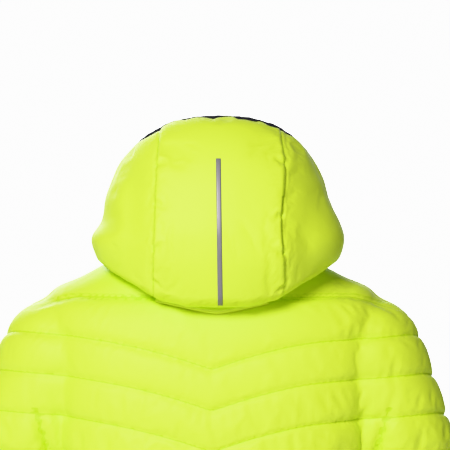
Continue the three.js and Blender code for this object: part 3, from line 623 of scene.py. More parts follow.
class Lines:
    """Distance from each point to each kind of sewn line, and the length along it."""

    def __init__(self, skin):
        p = skin.points
        x, y, z = p.T
        reach, _, angle = arm_place(p)
        self.sleeve = skin.values["sleeve"]
        on_arm = self.sleeve > 0
        top = yoke_line(p)
        rows = quilting(p, reach)
        self.rows = rows
        self.top = top
        self.above = (z > top) & ~on_arm
        self.band = (z < -BODY_LENGTH + HEM_BAND) & ~on_arm
        self.cuff = on_arm & (reach > CUFF_START)
        across = np.where(on_arm & (reach > 150), angle * 60, x + 0.6 * y)
        quilt = np.abs(rows - np.round(rows)) * QUILT_PITCH
        self.quilt = np.where((rows > -0.4) & ~self.above & ~self.band & ~self.cuff, quilt, 99)
        far = np.full(len(p), 99.0)
        upright = z + 0.4 * reach
        self.seams = [
            (np.abs(self.sleeve), upright, 8, 3.0 * smooth_step(-z, 180, 270), 1),
            (np.where(on_arm, far, np.abs(z - top)), x, 5, 1.2 * smooth_step(-self.sleeve, 8, 55), 2),
            (np.where(on_arm, far, np.abs(z + BODY_LENGTH - HEM_BAND)), x + y, 4, 2.0, 3),
            (np.where(~on_arm & (z < -90), np.abs(y - SIDE_SEAM), far), z, 5, 1.8, 4),
            (np.where(on_arm, np.abs(reach - ELBOW_SHARE * ARM_LENGTH), far), angle * 60, 4, 1.4, 5),
            (np.where(on_arm, np.abs(reach - CUFF_START), far), angle * 45, 4, 2.2, 6),
            (np.where((y < -60) & (np.abs(x) < 40), np.abs(x) - ZIP_OPENING / 2 - 5, far), z, 4, 1.0, 7),
        ]
        self.across = across
        self.placket = (1 - smooth_step(np.abs(x), 18, 27)) * (y < -50)
        self.pockets = beside_strips(p)
        taut = np.where(x < -150, 0.28, 0.15)
        self.slack = mix(taut, 1, np.maximum(smooth_step(-z, 170, 300), smooth_step(-y, 0, 60)))


def padding(skin, lines):
    """How far each point of the body's skin stands out between the seams and sewn lines."""
    z = skin.points[:, 2]
    rows = lines.rows
    w = np.abs((rows % 1) - 0.5) * 2
    quilted = 4.4 * (1 - w**2.4) * mix(0.7, 1, smooth_step(-z, 170, 300))
    above_first = np.clip(-rows * QUILT_PITCH, 0, None)
    span = np.maximum(lines.top - z + above_first, 10)
    share = np.clip(above_first / span, 0, 1)
    wide = 4.2 * (1 - np.abs(share * 2 - 1) ** 2.6)
    cap = 2.2 * (1 - np.exp(-((above_first / 14) ** 2)))
    wide = mix(wide, cap, smooth_step(lines.sleeve, -50, 0))
    height = np.where(rows > 0, quilted, wide)
    yoke = 2.8 * (1 - np.exp(-(((z - lines.top) / 12) ** 2)))
    height = np.where(lines.above, mix(yoke, height, smooth_step(lines.sleeve, -50, 0)), height)
    middle = (z + BODY_LENGTH - HEM_BAND / 2) / (HEM_BAND / 2)
    height = np.where(lines.band, 2.6 * (1 - np.abs(np.clip(middle, -1, 1)) ** 3), height)
    height = np.where(lines.cuff, 0.4, height)
    for distance, _, width, depth, _ in lines.seams:
        near = np.exp(-((distance / width) ** 2)) * np.clip(depth, 0, 1)
        height = height * (1 - near)
    near = np.exp(-((np.clip(lines.pockets, 0, None) / 9) ** 2))
    return mix(height * (1 - near) - 1.2 * near, 2.2, lines.placket)


def stitching(skin, lines):
    """Grooves along the sewn lines, with the small puckers that the thread draws in beside them."""
    height = -1.5 * np.exp(-((lines.quilt / 2.2) ** 2))
    height -= 0.9 * np.exp(-((lines.quilt / 6) ** 2)) * (1 - smooth_step(-skin.points[:, 2], 170, 300))
    side = np.sign(lines.rows - np.round(lines.rows))
    for sign, seed in ((1, 11), (-1, 12)):
        wave = ripple(lines.across, 15, seed) * (0.55 + 0.45 * ripple(lines.across, 140, seed + 5))
        off_line = 1 - np.exp(-((lines.quilt / 2) ** 2))
        height += 0.75 * lines.slack * wave * np.exp(-lines.quilt / 9) * (side == sign) * off_line
    for distance, along, width, depth, seed in lines.seams:
        height -= depth * np.exp(-((distance / (0.55 * width)) ** 2))
        wave = ripple(along, 13, seed + 20)
        near = np.exp(-distance / 8) * (1 - np.exp(-((distance / 2) ** 2)))
        height += 0.5 * lines.slack * np.clip(depth, 0, 1) * wave * near
    along_zip = np.abs(np.abs(skin.points[:, 0]) - ZIP_OPENING / 2 - 5)
    return mix(height, -0.8 * np.exp(-((along_zip / 1.6) ** 2)), lines.placket)


# each fold behind an armpit: its distance from the middle, height, length, depth and slant
ARMPIT_FOLDS = ((206, -215, 55, 2.4, 0.10), (188, -235, 55, 2.0, 0.2), (224, -195, 45, 1.8, 0))


def folds(points):
    """Soft hanging folds beside the armpits and over the elbows."""
    x, y, z = points.T
    side = np.abs(x)
    behind = smooth_step(y, 20, 60)
    height = np.zeros(len(x))
    for centre, top, length, depth, slant in ARMPIT_FOLDS:
        line = centre + slant * (z - top)
        height -= depth * bump(side, line, 7) * bump(z, top, length) * behind * np.where(x < 0, 1.0, 0.6)
    flank = smooth_step(side, 90, 190)
    height += 1.5 * ripple(side * 0.9 + z * 0.25, 60, 41) * flank * smooth_step(-z, 140, 260)
    return height


def make_body():
    """The jacket's outside as one skin, cut along its seams and padded between its sewn lines."""
    skin = body_skin(4)
    open_ends(skin)
    cut_panels(skin)
    cut_quilting(skin)
    lines = Lines(skin)
    out = normals_of(skin.points, skin.faces)
    skin.points += out * (padding(skin, lines) + folds(skin.points))[:, None]
    free_edge = free_ends(skin.faces, len(skin.points))
    held = (lines.quilt < 1.5) | (lines.pockets < 8) | (lines.placket > 0.6)
    for distance, _, _, depth, _ in lines.seams:
        held |= (distance < 1.5) & (depth > 0.5)
    skin.points = relaxed(skin.points, skin.faces, held | free_edge, 0.035, 4, 3 * lines.slack[:, None])
    skin.points += normals_of(skin.points, skin.faces) * stitching(skin, lines)[:, None]
    skin.points = smoothed(skin.points, skin.faces, 1, free_edge)
    x, y, _ = skin.points.T
    at_zip = free_edge & (y < -40) & (np.abs(np.abs(x) - ZIP_OPENING / 2) < 4)
    skin.points[at_zip, 0] = np.sign(x[at_zip]) * ZIP_OPENING / 2
    seam = lines.quilt.copy()
    along = lines.across.copy()
    for distance, run, _, depth, _ in lines.seams:
        beside = np.minimum(distance, np.abs(distance - 3.5)) + 30 * (depth < 0.5)
        nearer = beside < seam
        seam[nearer] = beside[nearer]
        along[nearer] = run[nearer]
    skin.values["stitch"] = np.minimum(seam, 30)
    skin.values["run"] = along
    return skin


body = make_body()

# ---------------------------------------------------------------- materials


def node_material(name):
    material = bpy.data.materials.new(name)
    material.use_nodes = True
    nodes, links = material.node_tree.nodes, material.node_tree.links
    return material, nodes, links, nodes["Principled BSDF"]


def noise(nodes, links, coordinates, scale, detail=3, roughness=0.5):
    n = nodes.new("ShaderNodeTexNoise")
    n.inputs["Scale"].default_value = scale
    n.inputs["Detail"].default_value = detail
    n.inputs["Roughness"].default_value = roughness
    links.new(coordinates, n.inputs["Vector"])
    return n


def add_bump(nodes, links, height, strength, distance, normal=None):
    b = nodes.new("ShaderNodeBump")
    b.inputs["Strength"].default_value = strength
    b.inputs["Distance"].default_value = distance
    links.new(height, b.inputs["Height"])
    if normal is not None:
        links.new(normal, b.inputs["Normal"])
    return b.outputs["Normal"]


def math_node(nodes, links, operation, first, second):
    """A maths node over two values, each a socket or a number."""
    n = nodes.new("ShaderNodeMath")
    n.operation = operation
    for socket, value in zip(n.inputs, (first, second)):
        if isinstance(value, (int, float)):
            socket.default_value = value
        else:
            links.new(value, socket)
    return n.outputs[0]


def ranged(nodes, links, value, low, high, first=0.0, last=1.0, kind="LINEAR"):
    """A value carried from the range low to high over to the range first to last."""
    n = nodes.new("ShaderNodeMapRange")
    n.interpolation_type = kind
    for name, number in (("From Min", low), ("From Max", high), ("To Min", first), ("To Max", last)):
        n.inputs[name].default_value = number
    links.new(value, n.inputs["Value"])
    return n.outputs["Result"]


def mixed_colours(nodes, links, share, first, second):
    """A colour between two, each a socket or three numbers."""
    n = nodes.new("ShaderNodeMix")
    n.data_type = "RGBA"
    for name, colour in (("A", first), ("B", second)):
        if isinstance(colour, tuple):
            n.inputs[name].default_value = (*colour, 1)
        else:
            links.new(colour, n.inputs[name])
    links.new(share, n.inputs["Factor"])
    return n.outputs["Result"]


def measured(nodes, name):
    """A measure in mm that the piece's own points carry."""
    n = nodes.new("ShaderNodeAttribute")
    n.attribute_name = name
    return n.outputs["Fac"]


STITCH_LENGTH = 3.2


def sewn_lines(nodes, links):
    """How near the surface is to a sewn line, which sets where the thread's colour and the painted shade of
    the stitch groove go, and the height of the stitches along it.
    """
    near, run = measured(nodes, "stitch"), measured(nodes, "run")
    line = ranged(nodes, links, near, 0, 1.3, 1, 0, "SMOOTHSTEP")
    turn = math_node(nodes, links, "MULTIPLY", run, 6.283 / STITCH_LENGTH)
    thread = ranged(nodes, links, math_node(nodes, links, "SINE", turn, 0.0), -0.4, 0.1)
    core = ranged(nodes, links, near, 0.3, 0.6, 1, 0)
    both = math_node(nodes, links, "MULTIPLY", thread, core)
    return line, math_node(nodes, links, "SUBTRACT", both, line)


def cloth_material(name, colour, dark, roughness, weave, slack=0.0, sheen=0.2, sewn=None):
    """Woven cloth: fine threads, faint slack between stitches, and a slow change of shade.

    sewn is the colour painted along the sewn lines, on pieces that hold their distance to them: the thread's
    own colour together with painted shade of the stitch grooves and needle holes.
    """
    material, nodes, links, shader = node_material(name)
    place = nodes.new("ShaderNodeTexCoord").outputs["Object"]
    shade = noise(nodes, links, place, 9, 2)
    colour_out, stitch_height = mixed_colours(nodes, links, shade.outputs["Fac"], dark, colour), None
    if sewn:
        # the sewn lines are darkened: partly the thread's colour, partly painted shade in the stitch grooves
        # and needle holes
        line, stitch_height = sewn_lines(nodes, links)
        colour_out = mixed_colours(nodes, links, line, colour_out, sewn)
    links.new(colour_out, shader.inputs["Base Color"])
    shader.inputs["Roughness"].default_value = roughness
    shader.inputs["Sheen Weight"].default_value = sheen
    shader.inputs["Sheen Roughness"].default_value = 0.5
    shader.inputs["Specular IOR Level"].default_value = 0.5
    normal = None
    if slack:
        soft = noise(nodes, links, place, 38, 2, 0.45)
        normal = add_bump(nodes, links, soft.outputs["Fac"], slack, 0.004)
    total = None
    for axis in (0, 2):
        wave = nodes.new("ShaderNodeTexWave")
        wave.bands_direction = ("X", "Y", "Z")[axis]
        wave.inputs["Scale"].default_value = weave
        wave.inputs["Distortion"].default_value = 0.6
        wave.inputs["Detail"].default_value = 1
        links.new(place, wave.inputs["Vector"])
        if total is None:
            total = wave.outputs["Fac"]
        else:
            total = math_node(nodes, links, "ADD", total, wave.outputs["Fac"])
    if stitch_height is not None:
        normal = add_bump(nodes, links, stitch_height, 0.3, 0.0006, normal)
    normal = add_bump(nodes, links, total, 0.12, 0.0003, normal)
    links.new(normal, shader.inputs["Normal"])
    return material


NEON_CLOTH = ((0.71, 0.92, 0.075), (0.69, 0.905, 0.065), 0.58, 420)
# the darker green along the sewn lines is the thread's colour plus painted shade of the grooves and needle
# holes
NEON = cloth_material("neon_shell", *NEON_CLOTH, slack=0.1, sheen=0.05, sewn=(0.55, 0.8, 0.03))
NEON_PLAIN = cloth_material("neon_plain", *NEON_CLOTH, slack=0.1, sheen=0.05)
LINING = cloth_material("lining", (0.03, 0.036, 0.052), (0.022, 0.026, 0.04), 0.5, 500, slack=0.2)
DARK = cloth_material("dark_trim", (0.022, 0.025, 0.032), (0.016, 0.018, 0.024), 0.75, 380)
STRETCH = cloth_material("stretch", (0.03, 0.03, 0.035), (0.02, 0.02, 0.025), 0.9, 250)


def plain_material(name, colour, roughness, metallic=0.0):
    material, nodes, links, shader = node_material(name)
    place = nodes.new("ShaderNodeTexCoord").outputs["Object"]
    grain = noise(nodes, links, place, 900, 3)
    shader.inputs["Base Color"].default_value = (*colour, 1)
    shader.inputs["Metallic"].default_value = metallic
    uneven = ranged(nodes, links, grain.outputs["Fac"], 0, 1, roughness - 0.08, roughness + 0.08)
    links.new(uneven, shader.inputs["Roughness"])
    links.new(add_bump(nodes, links, grain.outputs["Fac"], 0.1, 0.0002), shader.inputs["Normal"])
    return material


PLASTIC = plain_material("plastic", (0.025, 0.027, 0.03), 0.45)
METAL = plain_material("metal", (0.2, 0.2, 0.21), 0.32, 1.0)
REFLECTIVE = plain_material("reflective", (0.235, 0.235, 0.24), 0.42, 0.25)

SLOT_MATERIAL = {
    "shell": NEON,
    "lining": LINING,
    "dark_trim": DARK,
    "stretch": STRETCH,
    "reflective": REFLECTIVE,
    "plastic": PLASTIC,
    "metal": METAL,
}
SLOT = {part["node"]: part["material_slot"] for part in frame["record"]["subparts"]}
for node, obj in frame["nodes"].items():
    obj.data.materials.clear()
    obj.data.materials.append(SLOT_MATERIAL[SLOT[node]])

# ---------------------------------------------------------------- pieces


def settle_in(obj, nodes, body):
    """Puts a finished piece on its body in place of its CAD nodes."""
    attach(obj, body)
    if nodes:
        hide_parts(*nodes)
    return obj


def shell_object(name, points, faces, normals, thickness, material, values=None):
    """A closed piece of even thickness under its outside, with clean edges and the normals it is given."""
    sides = sides_of(faces)
    _, index, uses = np.unique(np.sort(sides, axis=1), axis=0, return_index=True, return_counts=True)
    rim = sides[index[uses == 1]]
    used, rim_places = np.unique(rim, return_inverse=True)
    rim_places = rim_places.reshape(rim.shape)
    inner = points - normals * thickness
    n, k = len(points), len(used)
    sideways = np.zeros((k, 3))
    edge_side = np.cross(points[rim[:, 1]] - points[rim[:, 0]], normals[rim[:, 0]])
    for column in range(2):
        for axis in range(3):
            sideways[:, axis] += np.bincount(rim_places[:, column], edge_side[:, axis], k)
    sideways /= np.maximum(np.linalg.norm(sideways, axis=1, keepdims=True), 1e-9)
    all_points = np.vstack([points, inner, points[used], inner[used]])
    all_normals = np.vstack([normals, -normals, sideways, sideways])
    top, low = 2 * n + rim_places, 2 * n + k + rim_places
    upper = np.stack([top[:, 1], top[:, 0], low[:, 0]], -1)
    lower = np.stack([top[:, 1], low[:, 0], low[:, 1]], -1)
    wall = np.vstack([upper, lower])
    obj = new_object(name, all_points, np.vstack([faces, faces[:, ::-1] + n, wall]), material)
    for key, value in (values or {}).items():
        attribute = obj.data.attributes.new(key, "FLOAT", "POINT")
        value = np.concatenate([value, value, value[used], value[used]])
        attribute.data.foreach_set("value", value.astype(np.float32))
    obj.data.normals_split_custom_set_from_vertices(all_normals.tolist())
    return obj


def panels_of(skin, masks, thickness, material, body, suffix="_fabric"):
    normals = normals_of(skin.points, skin.faces)
    for name, mask in masks.items():
        points, faces, used = skin.part(mask)
        values = {key: skin.values[key][used] for key in ("stitch", "run") if key in skin.values}
        obj = shell_object(name + suffix, points, faces, normals[used], thickness, material, values)
        settle_in(obj, [name], body)


def body_masks(skin):
    sleeve, back, yoke = skin.side("sleeve"), skin.side("back"), skin.side("yoke")
    band, elbow, cuff = skin.side("band"), skin.side("elbow"), skin.side("cuff")
    left = skin.points[skin.faces].mean(1)[:, 0] > 0
    masks = {
        "back_yoke": ~sleeve & back & yoke,
        "back_panel": ~sleeve & back & ~yoke & band,
        "hem_band": ~sleeve & ~band,
    }
    for name, half in (("left", left), ("right", ~left)):
        masks[f"front_yoke_{name}"] = ~sleeve & ~back & yoke & half
        masks[f"front_panel_{name}"] = ~sleeve & ~back & ~yoke & band & half
        masks[f"sleeve_upper_{name}"] = sleeve & ~elbow & half
        masks[f"sleeve_lower_{name}"] = sleeve & elbow & ~cuff & half
        masks[f"cuff_{name}"] = sleeve & cuff & half
    return masks


panels_of(body, body_masks(body), SHELL, NEON, ROOT)
BODY_TREE = BVHTree.FromPolygons(body.points.tolist(), body.faces.tolist())


def well_inside(points):
    """Which points lie at least 4 mm inside the jacket's outer skin."""
    inside = np.zeros(len(points), bool)
    for k, p in enumerate(points):
        nearest, normal, _, _ = BODY_TREE.find_nearest(p)
        inside[k] = (nearest - Vector(p)).dot(normal) > 4
    return inside


def add_linings():
    """The dark lining inside the body and the sleeves."""
    skin = body_skin(9)
    skin.points = smoothed(skin.points, skin.faces, 4)
    reach = arm_place(skin.points)[0]
    at_end = (beyond_armhole(skin.points) > 5) & (reach > ARM_LENGTH - 40)
    skin.cut("wrist", np.where(at_end, ARM_LENGTH - 12 - reach, 1))
    skin.keep(skin.side("wrist"))
    skin.cut("hem", skin.points[:, 2] + BODY_LENGTH - 12)
    skin.keep(skin.side("hem"))
    p = skin.points
    in_neck = (p[:, 2] > -66) & (np.abs(p[:, 0]) < 74) & (p[:, 1] < 76) & (p[:, 1] > -97)
    skin.cut("neck", np.where(in_neck, section_reach(p, 0) - 0.94, 1))
    skin.keep(skin.side("neck"))
    skin.cut("zip", np.where(skin.points[:, 1] < -40, np.abs(skin.points[:, 0]) - 22, 1))
    skin.keep(skin.side("zip"))
    skin.cut("sleeve", beyond_armhole(skin.points))
    skin.cut("back", skin.points[:, 1] - SIDE_SEAM)
    p = skin.points
    slack = ripple(p[:, 2] + 0.3 * p[:, 0], 70, 61) + 0.7 * ripple(p[:, 0] + p[:, 1], 45, 62)
    skin.points = p - normals_of(p, skin.faces) * (10.2 + 0.9 * slack)[:, None]
    skin.keep(well_inside(skin.points)[skin.faces].all(1))
    sleeve, back = skin.side("sleeve"), skin.side("back")
    left = skin.points[skin.faces].mean(1)[:, 0] > 0
    masks = {
        "body_lining_back": ~sleeve & back,
        "body_lining_left": ~sleeve & ~back & left,
        "body_lining_right": ~sleeve & ~back & ~left,
        "sleeve_lining_left": sleeve & left,
        "sleeve_lining_right": sleeve & ~left,
    }
    panels_of(skin, masks, 1.2, LINING, ROOT, suffix="_cloth")


def grid_faces_open(rows, columns, wrap=False):
    """Triangles over a grid of points, rows by columns."""
    quads = grid_faces(rows, columns, wrap)
    return np.vstack([quads[:, [0, 1, 2]], quads[:, [0, 2, 3]]])


def outward_of(grid):
    """Directions square to a grid that stands round the middle, pointing away from it."""
    out = normals_of(grid.reshape(-1, 3), grid_faces_open(*grid.shape[:2])).reshape(grid.shape)
    return out * np.sign((out * grid * [1, 1, 0]).sum(-1, keepdims=True))


def grid_piece(
    name, grid, outside, thickness, material, nodes,
    body=ROOT, wrap=False, values=None,
):
    """A piece of even thickness under a grid of points. outside is a direction on its outer side."""
    rows, columns, _ = grid.shape
    faces = grid_faces_open(rows, columns, wrap)
    points = grid.reshape(-1, 3)
    normals = normals_of(points, faces)
    middle = len(points) // 2 + columns // 2
    if normals[middle] @ np.asarray(outside, float) < 0:
        faces, normals = faces[:, ::-1], -normals
    if np.ndim(thickness):
        thickness = np.asarray(thickness).reshape(-1, 1)
    obj = shell_object(name, points, faces, normals, thickness, material, values)
    return settle_in(obj, nodes, body)


def soft_copy(node, voxel, material, wrinkle=0.0):
    """A small soft part as a smooth, slightly rumpled cloth piece in its CAD node's place."""
    points, faces = remeshed([arrays(frame["nodes"][node].data)], voxel)
    points = smoothed(points, faces, 4)
    if wrinkle:
        wave = ripple(points[:, 2] + 0.5 * points[:, 0], 16, len(node))
        points += normals_of(points, faces) * (wrinkle * wave)[:, None]
    obj = new_object(node + "_cloth", points, faces, material)
    return settle_in(obj, [node], frame["nodes"][node]["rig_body"])


# the collar: its outline at the neck seam and at the top
COLLAR_LOW = ((NECK_HALF_WIDTH, 0), (68, 12), (-91, -55))
COLLAR_HIGH = ((66, 70), (60, 84), (-85, 28))
COLLAR_WALL = 5
COLLAR_COLUMNS = 170


def collar_grid(heights, inset=0.0, gap=0.102):
    """Points over the collar's outside, from one side of the front zip round the back to the other."""
    turn = np.linspace(-np.pi + gap, np.pi - gap, COLLAR_COLUMNS)[None, :]
    share = np.asarray(heights, float)[:, None]
    lines = [
        np.stack([mix(low[k], high[k], share) + 0 * turn for k in range(2)], -1)
        for low, high in zip(COLLAR_LOW, COLLAR_HIGH)
    ]
    grid = section(*lines, turn + 0 * share, 2.1)
    out = outward_of(grid)
    inset = np.broadcast_to(np.asarray(inset, float).reshape(-1, 1), grid.shape[:2])
    return grid - out * inset[..., None], out


def add_collar():
    turn = np.linspace(-1, 1, COLLAR_COLUMNS) * 250
    up = np.linspace(-0.06, 1, 30)
    grid, out = collar_grid(up)
    w = np.abs(np.abs(np.clip(up, 0, 1) * 2 % 1) - 0.5) * 2
    puff = (2.4 * (1 - w**2.4))[:, None] * (1 + 0.15 * ripple(turn, 60, 31))
    line = np.abs(up - 0.5)[:, None] * 80
    puff = puff - 0.8 * np.exp(-((line / 2.5) ** 2)) + 0.5 * ripple(turn, 14, 32) * np.exp(-line / 8)
    outer = grid + out * puff[..., None]
    half = COLLAR_WALL / 2
    top, top_out = outer[-1], out[-1]
    bend = [
        top - top_out * half * (1 - np.cos(t)) + np.array([0, 0, half * np.sin(t)])
        for t in np.linspace(0.3, np.pi, 8)
    ]
    inside, _ = collar_grid(np.linspace(0.98, 0.86, 6), COLLAR_WALL)
    whole = np.concatenate([outer, np.array(bend), inside])
    distance = np.concatenate([np.abs(up - 0.5) * 80, np.full(8, 20), np.full(6, 20)])
    values = {
        "stitch": np.repeat(distance, COLLAR_COLUMNS),
        "run": np.tile(turn, len(whole)),
    }
    grid_piece("collar_fabric", whole, (0, 1, 0), 0.8, NEON, ["collar"], values=values)
    lining, _ = collar_grid(np.linspace(0.93, -0.1, 26), COLLAR_WALL + 0.9)
    lining += 0.25 * np.sin(np.arange(COLLAR_COLUMNS) / 3)[None, :, None] * [0, 0, 1]
    grid_piece("collar_lining_cloth", lining, (0, -1, 0), 1.2, LINING, ["collar_lining"])


def on_back(x, z):
    """y of the body's back at each x and z."""
    hits = [BODY_TREE.ray_cast((a, 320, b), (0, -1, 0))[0] for a, b in zip(x.ravel(), z.ravel())]
    return np.array([h.y for h in hits]).reshape(x.shape)


def add_neck_panel():
    """The padded layer under the hood, ending in a shallow point on the back."""
    x, down = np.meshgrid(np.linspace(-70, 69, 90), np.linspace(0, 1, 30))
    edge = -90.5 + 0.215 * np.abs(x + 6) + 2.0 * np.exp(-np.abs(x + 6) / 9)
    z = mix(-22, edge, down)
    round_end = np.sqrt(np.clip(1 - np.clip((down - 0.86) / 0.14, 0, 1) ** 2, 0, 1))
    side_end = np.sqrt(np.clip(1 - np.clip((np.abs(x) - 62) / 8.5, 0, 1) ** 2, 0.02, 1))
    lift = 2 + 6.0 * round_end * side_end + 0.5 * ripple(x, 45, 51) * down
    grid = np.stack([x, on_back(x, z) + lift, z], -1)
    grid_piece("hood_neck_panel_fabric", grid, (0, 1, 0), lift - 0.8, NEON_PLAIN, ["hood_neck_panel"])


# ---------------------------------------------------------------- the front zip

ZIP_TOP = np.array([0, -85.07, 26])
ZIP_UP = np.array([0, 0.0742, 0.9972])
ZIP_OUT = np.array([0, -0.9972, 0.0742])
ZIP_LENGTH = 764


def zip_point(x, down, depth):
    """Points in the front zip's frame: across, down from its top, and out from its face."""
    x, down, depth = np.broadcast_arrays(x, down, depth)
    return np.stack([x, 0 * x, 0 * x], -1) + ZIP_TOP - ZIP_UP * down[..., None] + ZIP_OUT * depth[..., None]


def block_row(centres, along, across, out, size, taper=0.72):
    """Small tapered blocks, such as zip teeth, as one set of points and faces."""
    length, width, height = size
    corners = []
    for level, shrink in ((0, 1), (0.62, 1), (1, taper)):
        for a, b in ((-1, -1), (1, -1), (1, 1), (-1, 1)):
            flat = a * length / 2 * shrink * along + b * width / 2 * shrink * across
            corners.append(flat + level * height * out)
    shape = np.array(corners)
    quads = [(3, 2, 1, 0), (8, 9, 10, 11)]
    for ring in (0, 4):
        quads += [(ring + k, ring + (k + 1) % 4, ring + 4 + (k + 1) % 4, ring + 4 + k) for k in range(4)]
    quads = np.array(quads)
    points = (centres[:, None] + shape[None]).reshape(-1, 3)
    faces = (quads[None] + (np.arange(len(centres)) * 12)[:, None, None]).reshape(-1, 4)
    if np.dot(np.cross(along, across), out) < 0:
        faces = faces[:, ::-1]
    return points, faces


def add_front_zip():
    down = np.linspace(0.5, ZIP_LENGTH - 2, 260)[:, None]
    for name, side in (("left", 1), ("right", -1)):
        across = np.linspace(3.2, 16.8, 9)[None, :] * side
        weave = 0.12 * np.sin(down * 2.1) + 0.1 * ripple(down, 30, 71)
        grid_piece(f"zip_tape_{name}_woven", zip_point(across, down, -2.5 + weave), ZIP_OUT, 0.8, DARK,
                   [f"zip_tape_{name}"])
        centres = zip_point(1.55 * side, np.arange(4 + 1.5 * (side > 0), ZIP_LENGTH - 16, 3.0), -3.2)
        points, faces = block_row(centres, ZIP_UP, np.array([1.0, 0, 0]), ZIP_OUT, (1.9, 2.7, 2.3))
        teeth = new_object(f"zip_teeth_{name}_chain", points, faces, PLASTIC)
        teeth.data.shade_flat()
        settle_in(teeth, [f"zip_teeth_{name}"], ROOT)
    down = np.linspace(4, ZIP_LENGTH - 6, 200)[:, None]
    across = np.linspace(-21.5, 21.5, 30)[None, :]
    ridge = 0.5 * np.exp(-((np.abs(np.abs(across) - 17) / 1.5) ** 2))
    depth = -6.6 - ridge + 0.25 * ripple(down, 50, 72)
    grid_piece("storm_flap_cloth", zip_point(across, down, depth), ZIP_OUT, 1.6, LINING, ["storm_flap"])
    soft_copy("chin_guard", 1.0, LINING)


# ---------------------------------------------------------------- pocket zips


def add_pocket_zip(node):
    middle, half, width, along, across, out = STRIPS[node]
    name = node.removesuffix("_zip")
    run = np.linspace(-half, half, int(half))[:, None]
    reach = np.linspace(-width, width, 9)[None, :]

    def place(a, b, depth):
        a, b, depth = np.broadcast_arrays(a, b, depth)
        return middle + a[..., None] * along + b[..., None] * across + depth[..., None] * out

    grid_piece(f"{name}_zip_tape", place(run, reach, -0.5 + 0.1 * np.sin(run * 2)), out, 0.9, DARK, [node])
    for side in (-1, 1):
        centres = place(np.arange(-half + 3 + 0.7 * (side > 0), half - 4, 1.4), 0.95 * side, -0.6)
        points, faces = block_row(centres, along, across, out, (0.95, 1.8, 1.2))
        teeth = new_object(f"{name}_zip_teeth_{'a' if side > 0 else 'b'}", points, faces, PLASTIC)
        teeth.data.shade_flat()
        settle_in(teeth, [], ROOT)
    turn = np.linspace(0, 2 * np.pi, 16, endpoint=False)
    steps = np.linspace(-half - 4, half + 4, int(half * 0.8))
    ends = np.sqrt(np.clip(1 - (np.abs(steps) / (half + 4.4)) ** 14, 0.03, 1))
    for side in (-1, 1):
        soft = 1 + 0.08 * ripple(steps, 18, 80 + side)
        girth = (ends * soft)[:, None]
        aside, up = side * 7.1 + 2.2 * np.cos(turn) * girth, -0.4 + 1.7 * np.sin(turn) * girth
        rings = place(steps[:, None], aside, up)
        lip = new_object(f"{name}_lip_{'a' if side > 0 else 'b'}", *closed_loft(rings), NEON_PLAIN)
        settle_in(lip, [], ROOT)


def add_pocket_bag(node):
    """A pocket's bag, hanging flat between the padding and the lining."""
    low, high = (np.array(v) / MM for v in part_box(node))
    x, z = np.meshgrid(np.linspace(low[0] + 1, high[0] - 1, 24), np.linspace(low[2] + 1, high[2] - 1, 40))
    hits = [BODY_TREE.ray_cast((a, -320, b), (0, 1, 0))[0] for a, b in zip(x.ravel(), z.ravel())]
    y = np.array([h.y if h else -100 for h in hits]).reshape(x.shape)
    y = y.mean(1, keepdims=True) * 0.2 + 0.8 * y
    grid = np.stack([x, np.clip(y + 6.6, low[1] + 0.5, high[1] - 0.5), z], -1)
    grid_piece(node + "_cloth", grid, (0, -1, 0), 1.4, LINING, [node])


# ---------------------------------------------------------------- cuffs and skirt


def add_cuff_pieces():
    points, _ = arrays(frame["nodes"]["cuff_tab_left"].data)
    reach, radius, angle = arm_place(points)
    low, high = reach.min() + 0.4, reach.max() - 0.4
    first, last, outside = angle.min() + 0.01, angle.max() - 0.01, radius.max() - 0.1
    turn = np.linspace(first, last, 60)[:, None]
    free = np.clip((turn - (last - 0.22)) / 0.22, 0, 1)
    width = (high - low) / 2 * np.sqrt(np.clip(1 - free**2 * 0.9, 0.05, 1))
    across = np.linspace(-1, 1, 15)[None, :]
    edge = np.abs(across) ** 8
    tab = arm_point((low + high) / 2 + across * width, turn + 0 * across, outside - 0.5 * edge + 0 * turn)
    grip = np.linspace(last - 0.62, last - 0.06, 30)[:, None]
    hooks = outside - 2.6 + 0.15 * np.sin(grip * 400) + 0 * across
    patch = arm_point((low + high) / 2 + across * 8.5, grip + 0 * across, hooks)
    ring = np.linspace(0, 2 * np.pi, 200, endpoint=False)[None, :]
    gaiter_run = np.linspace(ARM_LENGTH - 62, ARM_LENGTH + 9, 36)[:, None]
    near_end = smooth_step(gaiter_run, ARM_LENGTH + 3, ARM_LENGTH + 9)
    ribs = 31.6 + 0.7 * np.cos(ring * 40) - 1.2 * near_end + 0.5 * np.sin(gaiter_run / 9)
    gaiter = arm_point(gaiter_run + 0 * ring, ring + 0 * gaiter_run, ribs)
    outward = OUT[-1]
    for name, side in (("left", 1), ("right", -1)):
        flip = np.array([side, 1, 1])
        outside, tab_node, gaiter_node = outward * flip, f"cuff_tab_{name}", f"wrist_gaiter_{name}"
        grid_piece(f"{tab_node}_fabric", tab * flip, outside, 2.0, NEON_PLAIN, [tab_node],
                   body=f"{tab_node}_body")
        grid_piece(f"cuff_grip_{name}", patch * flip, outside, 0.3, DARK, [])
        grid_piece(f"{gaiter_node}_knit", gaiter * flip, outside, 1.3, STRETCH, [gaiter_node],
                   wrap=True)


